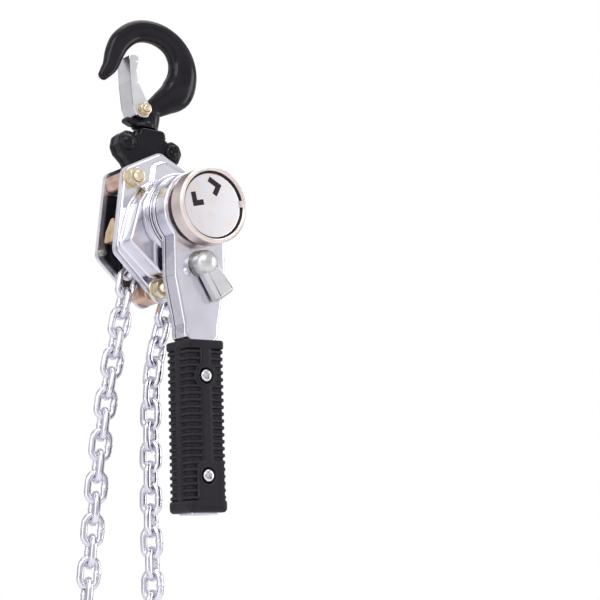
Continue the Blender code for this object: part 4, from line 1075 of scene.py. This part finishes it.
def drive_rings():
    shape = Shape().collar(8.0, 21.2, (-16.2, -13.4), 0.9)
    shape.collar(3.5, 8.4, (-23.0, -15.8), 0.4, 48)
    piece("friction_hub_body", shape, "pinion", "disc_zinc")
    for place, body, faces in (("inner", "pinion", (-18.1, -16.5)), ("outer", "change_gear", (-23.3, -21.7))):
        shape = Shape().collar(8.8, 20.6, faces, 0.3)
        piece(f"friction_disc_{place}_body", shape, body, "friction_lining")


def ratchet_disc():
    """Saw teeth, each with a steep face and a back that falls in five steps."""
    pitch = 360.0 / RATCHET_TEETH
    outline = []
    for index in range(RATCHET_TEETH):
        foot = STEEP_FACE_ANGLE + pitch * index
        outline.append(swung(RATCHET_ROOT, math.radians(foot)))
        for part, angle in enumerate(arc(foot + STEEP_FACE_SPREAD, pitch - STEEP_FACE_SPREAD, 5)[:-1]):
            outline.append(swung(RATCHET_TIP - (RATCHET_TIP - RATCHET_ROOT) * part / 5, angle))
    shape = Shape().plate(outline, (-21.4, -18.4), 0.25, [circle(0.0, 0.0, 8.8, 48)], steps=1)
    piece("ratchet_disc_body", shape, "ratchet_disc", "disc_zinc", sharp=30.0)


def change_gear():
    shape = Shape().collar(8.0, 21.4, (-27.0, -23.6), 0.9)
    shape.collar(3.5, 9.4, (-52.0, -25.0), 0.6, 64)
    pitch = 2 * math.pi / CHANGE_TEETH
    outline = []
    for index in range(CHANGE_TEETH):
        middle = math.radians(NOSE_ANGLE + LEVER_LEAN - 90.0) + (index + 0.5) * pitch
        corners = (CHANGE_ROOT, -0.30), (CHANGE_TIP, -0.18), (CHANGE_TIP, 0.18), (CHANGE_ROOT, 0.30)
        for radius, share in corners:
            outline.append(swung(radius, middle + share * pitch))
    shape.plate(rounded(outline, 0.4, 2), (-40.6, -33.4), 0.3, [circle(0.0, 0.0, 6.0)], steps=1)
    piece("change_gear_body", shape, "change_gear", "disc_zinc")


# Lever

LEVER_HEAD = 22.5
LEVER_CHEEK = 16.5
LEVER_WALL = 1.6
# The y of each half's web and rim.
OUTER_HALF = (-44.0, -33.9)
INNER_HALF = (-29.0, -32.8)
GRIP_SCREWS = {"upper": -94.0, "lower": -149.0}
SELECTOR_DROP = -31.0
SELECTOR_LEAN = 34.0


def lever_outline():
    """Round head, parallel cheeks and a tapering arm with a narrow tang."""
    half_gap = math.degrees(math.asin(LEVER_CHEEK / LEVER_HEAD))
    head = [swung(LEVER_HEAD, angle) for angle in arc(half_gap - 90.0, 360.0 - 2 * half_gap, 60)]
    arm = [(-LEVER_CHEEK, -38.0), (-11.3, -65.0), (-11.3, -72.0), (-8.0, -74.5), (-8.0, -158.0)]
    corners = arm + [(-x, z) for x, z in reversed(arm)]
    ends = [head[-1], *corners, head[0]]
    return head + rounded(ends, 4.0, 5, closed=False)[1:-1]


def lever_shell(half, bend, selector_bore):
    """A pressed half of the lever, from the middle of its web round the bend to the rim and back."""
    web, rim = half
    out = 1 if rim > web else -1
    wall = LEVER_WALL
    inner = bend - wall if bend > wall else 0.3
    stations = [(bend * (1 - math.sin(t)), web + out * bend * (1 - math.cos(t))) for t in QUARTER]
    stations += [(0.0, rim - out * 0.3), (0.3, rim), (wall - 0.3, rim), (wall, rim - out * 0.3)]
    stations += [(wall + inner * (1 - math.sin(t)), web + out * (wall + inner * (1 - math.cos(t))))
                 for t in reversed(QUARTER)]
    holes = [circle(0.0, 0.0, 15.2, 64), circle(0.0, SELECTOR_DROP, selector_bore)]
    holes += [circle(0.0, z, 2.3, 20) for z in GRIP_SCREWS.values()]
    return Shape().pressed(lever_outline(), stations, holes)


def lever_pieces():
    shape = lever_shell(OUTER_HALF, 1.6, 4.3)
    bump = [(0.0, -45.0), (1.2, -45.0), (2.1, -44.4), (2.4, -43.9), (0.0, -43.8)]
    shape.turned(eased(bump, 0.2, 2), (-9.0, -35.6), 24)
    piece("lever_outer_shell", shape, "lever", "lever_zinc")
    shape = lever_shell(INNER_HALF, 1.8, 3.3)
    piece("lever_inner_shell", shape, "lever", "lever_zinc")


def selector():
    shape = Shape()
    dome = [(0.0, -29.4), (3.0, -29.4), (3.0, -44.6), (6.4, -44.8), (6.9, -45.6), (7.1, -49.6), (6.8, -51.4),
            (5.9, -53.0), (4.5, -54.2), (2.5, -55.0), (0.0, -55.3)]
    shape.turned(dome, (0.0, SELECTOR_DROP), 56)
    arm = rounded([(-5.6, -3.0), (-6.8, -22.0), (6.8, -22.0), (5.6, -3.0)], 1.6, 4)
    arm = shifted(rotated(arm, SELECTOR_LEAN), 0.0, SELECTOR_DROP)
    stations = [(2.2, -53.0), (1.6, -52.9), (0.3, -50.4), (0.0, -49.6), (0.0, -46.0), (0.5, -45.5)]
    shape.pressed(arm, stations)
    piece("selector_knob_body", shape, "selector", "knob_grey", sharp=30.0)
    # A steel ring under the knob: painted shadow for the dark gap beneath the knob.
    shape = Shape().collar(3.4, 7.7, (-45.2, -44.3), 0.25, 48, 2, (0.0, SELECTOR_DROP))
    piece("selector_washer", shape, "selector", "bare_steel")


# Grip

GRIP_HALF = 12.3
GRIP_FRONT = -48.0
GRIP_REAR = -24.0
GRIP_SPLIT = -36.0
GRIP_TOP = -74.0
GRIP_END = -169.0
RIBS = 22
RIB_FIRST = -80.6
RIB_PITCH = 3.82
RIB_CREST = 0.45
RIB_FLOOR = 1.55
BOSS_RADIUS = 7.3


def grip_rows():
    """Levels down the grip, as (z, inset, whether it is a groove)."""
    rows = [(GRIP_TOP, 1.0, False), (GRIP_TOP - 0.3, 0.35, False), (GRIP_TOP - 0.9, 0.0, False),
            (-78.0, 0.0, False), (-78.6, 0.25, False), (-78.8, RIB_CREST, True)]
    groove = [(1.2, RIB_FLOOR, True), (1.05, 0.95, True), (0.6, RIB_CREST, False), (-0.6, RIB_CREST, False),
              (-1.05, 0.95, True), (-1.2, RIB_FLOOR, True)]
    for index in range(RIBS):
        middle = RIB_FIRST - RIB_PITCH * index
        rows += [(middle + rise, depth, cut) for rise, depth, cut in groove]
    rows += [(-162.6, RIB_CREST, False), (-163.2, 0.1, False), (-163.9, 0.0, False), (-166.4, 0.0, False),
             (-167.6, 0.2, False), (-168.5, 0.8, False), (GRIP_END, 1.7, False)]
    return rows


def grip_section():
    """Points round one half of the grip from split line to split line, as (x, depth, nx, ny).

    Depth runs from 0 at the split to 12 at the face.
    """
    half, face, corner = GRIP_HALF, 12.0, 2.6
    side = [0.15, 1.2, 2.35, 2.5, 4.0, 5.6, 7.4, face - corner]
    points = [(-half, depth, -1.0, 0.0) for depth in side]
    for angle in arc(0.0, 90.0, 6)[1:-1]:
        points.append((-half + corner * (1 - math.cos(angle)), face - corner * (1 - math.sin(angle)),
                       -math.cos(angle), math.sin(angle)))
    edge = half - corner
    across = [-edge, -8.4, -7.6, -7.5, -7.0, -6.9, -6.0, -5.0, -4.2, -3.5, -3.35, -1.7, 0.0]
    points += [(x, face, 0.0, 1.0) for x in across]
    points += [(-x, depth, -nx, ny) for x, depth, nx, ny in points[-2::-1]]
    return points


def is_plain(x, depth, z):
    """Where the ribs give way to the seam, the middle column, and the walls round the screws."""
    if depth < 2.4:
        return True
    if depth < 11.9:
        return False
    near = (x * x + (z - GRIP_SCREWS["upper"]) ** 2) ** 0.5 < BOSS_RADIUS
    return abs(x) < 3.4 or near or (z < -141.5 and x > -6.95)


def grip_half(side, front):
    """A ribbed half shell; side is -1 for the front half and 1 for the rear half."""
    section = grip_section()
    loops = []
    for z, depth_in, groove in grip_rows():
        loop = []
        for x, depth, nx, ny in section:
            plain = is_plain(x, depth, z) if front else depth < 2.4 or (depth > 11.9 and abs(x) < 3.4)
            inwards = RIB_CREST if groove and plain else depth_in
            deep = max(depth - ny * inwards, 0.15)
            loop.append((x - nx * inwards, GRIP_SPLIT + side * deep, z))
        loops.append(loop)
    return Shape().loft(loops)


def screw_wells(obj):
    """Sink the two screws' wells into the grip's front."""
    cutter = Shape()
    above, floor_y = GRIP_FRONT - 4.0, GRIP_FRONT + 2.2
    for z in GRIP_SCREWS.values():
        cutter.turned([(0.0, above), (4.7, above), (4.7, floor_y), (0.0, floor_y)], (0.0, z), 40)
    wells = added("wells", leant(cutter.mesh("wells")))
    modifier = obj.modifiers.new("wells", "BOOLEAN")
    modifier.operation = "DIFFERENCE"
    modifier.solver = "EXACT"
    modifier.object = wells
    obj.modifiers.move(len(obj.modifiers) - 1, 0)
    depsgraph = bpy.context.evaluated_depsgraph_get()
    cut = bpy.data.meshes.new_from_object(obj.evaluated_get(depsgraph))
    obj.modifiers.clear()
    obj.data = cut
    bpy.data.objects.remove(wells, do_unlink=True)


def grip_walls():
    """Thin raised walls round the upper boss and beside the lower screw, on the grip's front."""
    shape = Shape()
    face = GRIP_FRONT + RIB_CREST
    upper = [(-3.5, -78.8), (-3.5, -86.6)]
    centre = GRIP_SCREWS["upper"]
    upper += [swung(BOSS_RADIUS, angle, 0.0, centre) for angle in arc(118.0, 170.0, 16)]
    lower = rounded([(-1.5, -141.2), (-6.9, -142.6), (-6.9, -160.5)], 3.5, 6, closed=False)
    for route in (upper, lower):
        shape.tube([(x, face + 0.1, z) for x, z in route], 0.55, 8)
    rim = [(4.75, face - 0.05), (5.0, face - 0.3), (5.6, face - 0.3), (5.9, face + 0.3), (4.75, face + 0.3)]
    for z in GRIP_SCREWS.values():
        shape.turned(rim, (0.0, z), 48, ring=True)
    piece("grip_walls", shape, "lever", "grip_black")


def grip_screws():
    face = GRIP_FRONT + 1.7
    arm, slot = 2.1, 0.55
    cross = []
    for turn in (0.0, -90.0, -180.0, -270.0):
        cross += rotated([(slot, slot), (arm, slot), (arm, -slot)], 28.0 + turn)
    stations = [(1.5 * (1 - math.sin(t)), face - 2.1 + 1.7 * (1 - math.cos(t))) for t in QUARTER]
    stations.append((0.3, face))
    shank = [(0.0, face), (2.0, face), (2.0, GRIP_REAR - 1.0), (0.0, GRIP_REAR - 1.0)]
    for place, z in GRIP_SCREWS.items():
        pocket = (shifted(cross, 0.0, z), face - 0.6)
        shape = Shape().pressed(circle(0.0, z, 3.6, 40), stations, pockets=[pocket])
        shape.turned(shank, (0.0, z), 24)
        piece(f"grip_screw_{place}_body", shape, "lever", "screw_zinc")


def grip():
    front = piece("grip_front_shell", grip_half(-1, True), "lever", "grip_black", sharp=35.0)
    screw_wells(front)
    front.data.shade_smooth()
    front.data.set_sharp_from_angle(angle=math.radians(35.0))
    piece("grip_rear_shell", grip_half(1, False), "lever", "grip_black", sharp=35.0)
    grip_walls()
    grip_screws()
    tang = anticlockwise(rounded([(-9.0, -44.0), (9.0, -44.0), (9.0, -29.4), (-9.0, -29.4)], 1.8, 4))
    rows = [(1.6, GRIP_END + 2.0), (0.0, GRIP_END + 2.0), (0.0, GRIP_END - 0.7), (0.3, GRIP_END - 1.0),
            (1.3, GRIP_END - 1.0), (1.6, GRIP_END - 0.7)]
    shape = Shape().loft([[(x, y, z) for x, y in inset(tang, depth)] for depth, z in rows], ring=True)
    piece("lever_tang_end", shape, "lever", "lever_zinc")


# Hand wheel

WHEEL_RADIUS = 21.8
WHEEL_FRONT = -60.0
FACE_FRONT = -58.8


def hand_wheel():
    """The rim with its tab, the cap's disc, and a black ring of painted shade in the gap between them."""
    profile = [(9.7, -46.2), (19.4, -46.2), (20.2, -47.4), (20.2, -48.6), (21.4, -49.0),
               (WHEEL_RADIUS, -50.0), (WHEEL_RADIUS, WHEEL_FRONT + 1.2), (WHEEL_RADIUS - 1.2, WHEEL_FRONT),
               (19.9, WHEEL_FRONT), (19.2, WHEEL_FRONT + 0.7), (19.2, -57.3), (11.5, -57.3), (11.5, -54.0),
               (9.7, -54.0)]
    shape = Shape().turned(rounded(profile, 0.5, 3), steps=128, ring=True)
    tab = [(17.4, -1.9), (19.6, -1.9), (19.6, 1.9), (17.4, 1.9)]
    shape.plate(rotated(tab, 14.0), (-59.5, -57.0), 0.3)
    piece("hand_wheel_body", shape, "hand_wheel", "wheel_nickel")
    profile = [(0.0, FACE_FRONT), (17.4, FACE_FRONT), (18.0, FACE_FRONT + 0.25), (18.2, FACE_FRONT + 1.2),
               (0.0, FACE_FRONT + 1.2)]
    shape = Shape().turned(profile, (-0.45, -0.3), 96)
    piece("wheel_face_disc", shape, "hand_wheel", "face_nickel")
    # A black ring in the recess round the cap's disc: painted shade for the dark gap.
    shape = Shape().collar(17.0, 19.15, (-58.2, -57.35), 0.1, fineness=1)
    piece("wheel_seal", shape, "hand_wheel", "grip_black")


MARK_WIDTH = 3.1
# Each mark's corner and the ends of its long and short arm.
CORNER_MARKS = (((-12.6, -3.8), (-15.3, 3.8), (-5.9, -1.3)), ((4.0, 12.2), (-4.2, 15.4), (1.6, 5.2)))


def face_marks():
    """Two printed corner marks on the cap that point to either side."""
    shape = Shape()
    for corner, first, second in CORNER_MARKS:
        corner = Vector(corner)
        long, short = Vector(first) - corner, Vector(second) - corner
        wide, high = MARK_WIDTH * short.normalized(), MARK_WIDTH * long.normalized()
        inner = corner + wide + high
        mark = [corner, corner + long, corner + long + wide, inner, corner + short + high, corner + short]
        outline = rounded([tuple(point) for point in mark], 0.25, 2)
        shape.plate(outline, (FACE_FRONT - 0.12, FACE_FRONT + 0.2), 0.05, steps=1)
    piece("face_marks", shape, "hand_wheel", "grip_black")


# Nodes of the frame that are shown as they are

KEPT = {
    "bare_steel": "top_pin sheave_bearing_front sheave_bearing_rear pawl_pin_left pawl_pin_right load_sheave "
                  "chain_pin chain_end_ring",
    "spring_steel": "pawl_spring_left pawl_spring_right",
    "gear_steel": "load_gear pinion_shaft disc_gear_left disc_gear_right pawl_left pawl_right selector_pawl",
    "screw_zinc": "wheel_nut",
}


def dress_kept_nodes():
    for slot, names in KEPT.items():
        for name in names.split():
            dress(frame["nodes"][name], slot)


# Studio

FLOOR_Z = -0.68


def panel(name, centre, aim, size, strength):
    light = bpy.data.lights.new(name, "AREA")
    light.shape = "RECTANGLE"
    light.size, light.size_y = size
    light.energy = strength
    obj = added(name, light)
    obj.location = centre
    obj.rotation_mode = "QUATERNION"
    obj.rotation_quaternion = (aim - Vector(centre)).to_track_quat("-Z", "Y")


def floor():
    work = bmesh.new()
    bmesh.ops.create_grid(work, x_segments=2, y_segments=2, size=20.0)
    mesh = bpy.data.meshes.new("floor")
    work.to_mesh(mesh)
    work.free()
    obj = added("floor", mesh)
    obj.location.z = FLOOR_Z
    made = Finish("floor")
    grain = made.noise(3.0, 2.0)
    made.set("Base Color", made.ramp(grain, [(0.3, (0.80, 0.80, 0.81)), (0.7, (0.84, 0.84, 0.85))]))
    made.set("Roughness", made.spread(grain, 0.75, 0.85))
    mesh.materials.append(made.material)


def world():
    """White to the camera, and level bands of light and dark for metals to mirror."""
    made = bpy.data.worlds.new("studio")
    made.use_nodes = True
    room = Nodes(made.node_tree)
    split = room.node("SeparateXYZ", Vector=room.node("TexCoord").outputs["Generated"])
    height = room.node("MapRange", Value=split.outputs["Z"], From_Min=-1.0).outputs["Result"]
    bands = [(0.0, 0.72), (0.20, 0.62), (0.26, 0.12), (0.31, 0.58), (0.37, 0.10), (0.42, 0.50), (0.46, 0.08),
             (0.51, 0.30), (0.56, 0.72), (0.68, 0.84), (0.74, 0.30), (0.79, 0.90), (0.86, 0.45), (0.93, 0.98)]
    seen = room.ramp(height, [(level, (value, value, value * 1.03)) for level, value in bands])
    camera_ray = room.node("LightPath").outputs["Is Camera Ray"]
    colour = room.mixed(camera_ray, seen, (1.0, 1.0, 1.0))
    room.put(made.node_tree.nodes["Background"].inputs["Color"], colour)
    bpy.context.scene.world = made


def studio():
    floor()
    world()
    aim = metres(0.0, -20.0, -40.0)
    panel("key", (-0.9, -1.1, 0.75), aim, (0.9, 0.9), 8.0)
    panel("left", (-1.4, -0.35, -0.1), aim, (0.9, 1.6), 5.0)
    panel("right", (1.3, -0.9, 0.2), aim, (0.5, 1.2), 6.0)
    panel("top", (0.1, 0.0, 1.2), aim, (1.2, 1.0), 8.0)
    bpy.context.scene.view_settings.view_transform = "Standard"


make_hooks()
make_yoke()
make_frame()
drive_rings()
ratchet_disc()
change_gear()
lever_pieces()
selector()
grip()
hand_wheel()
face_marks()
dress_kept_nodes()
studio()
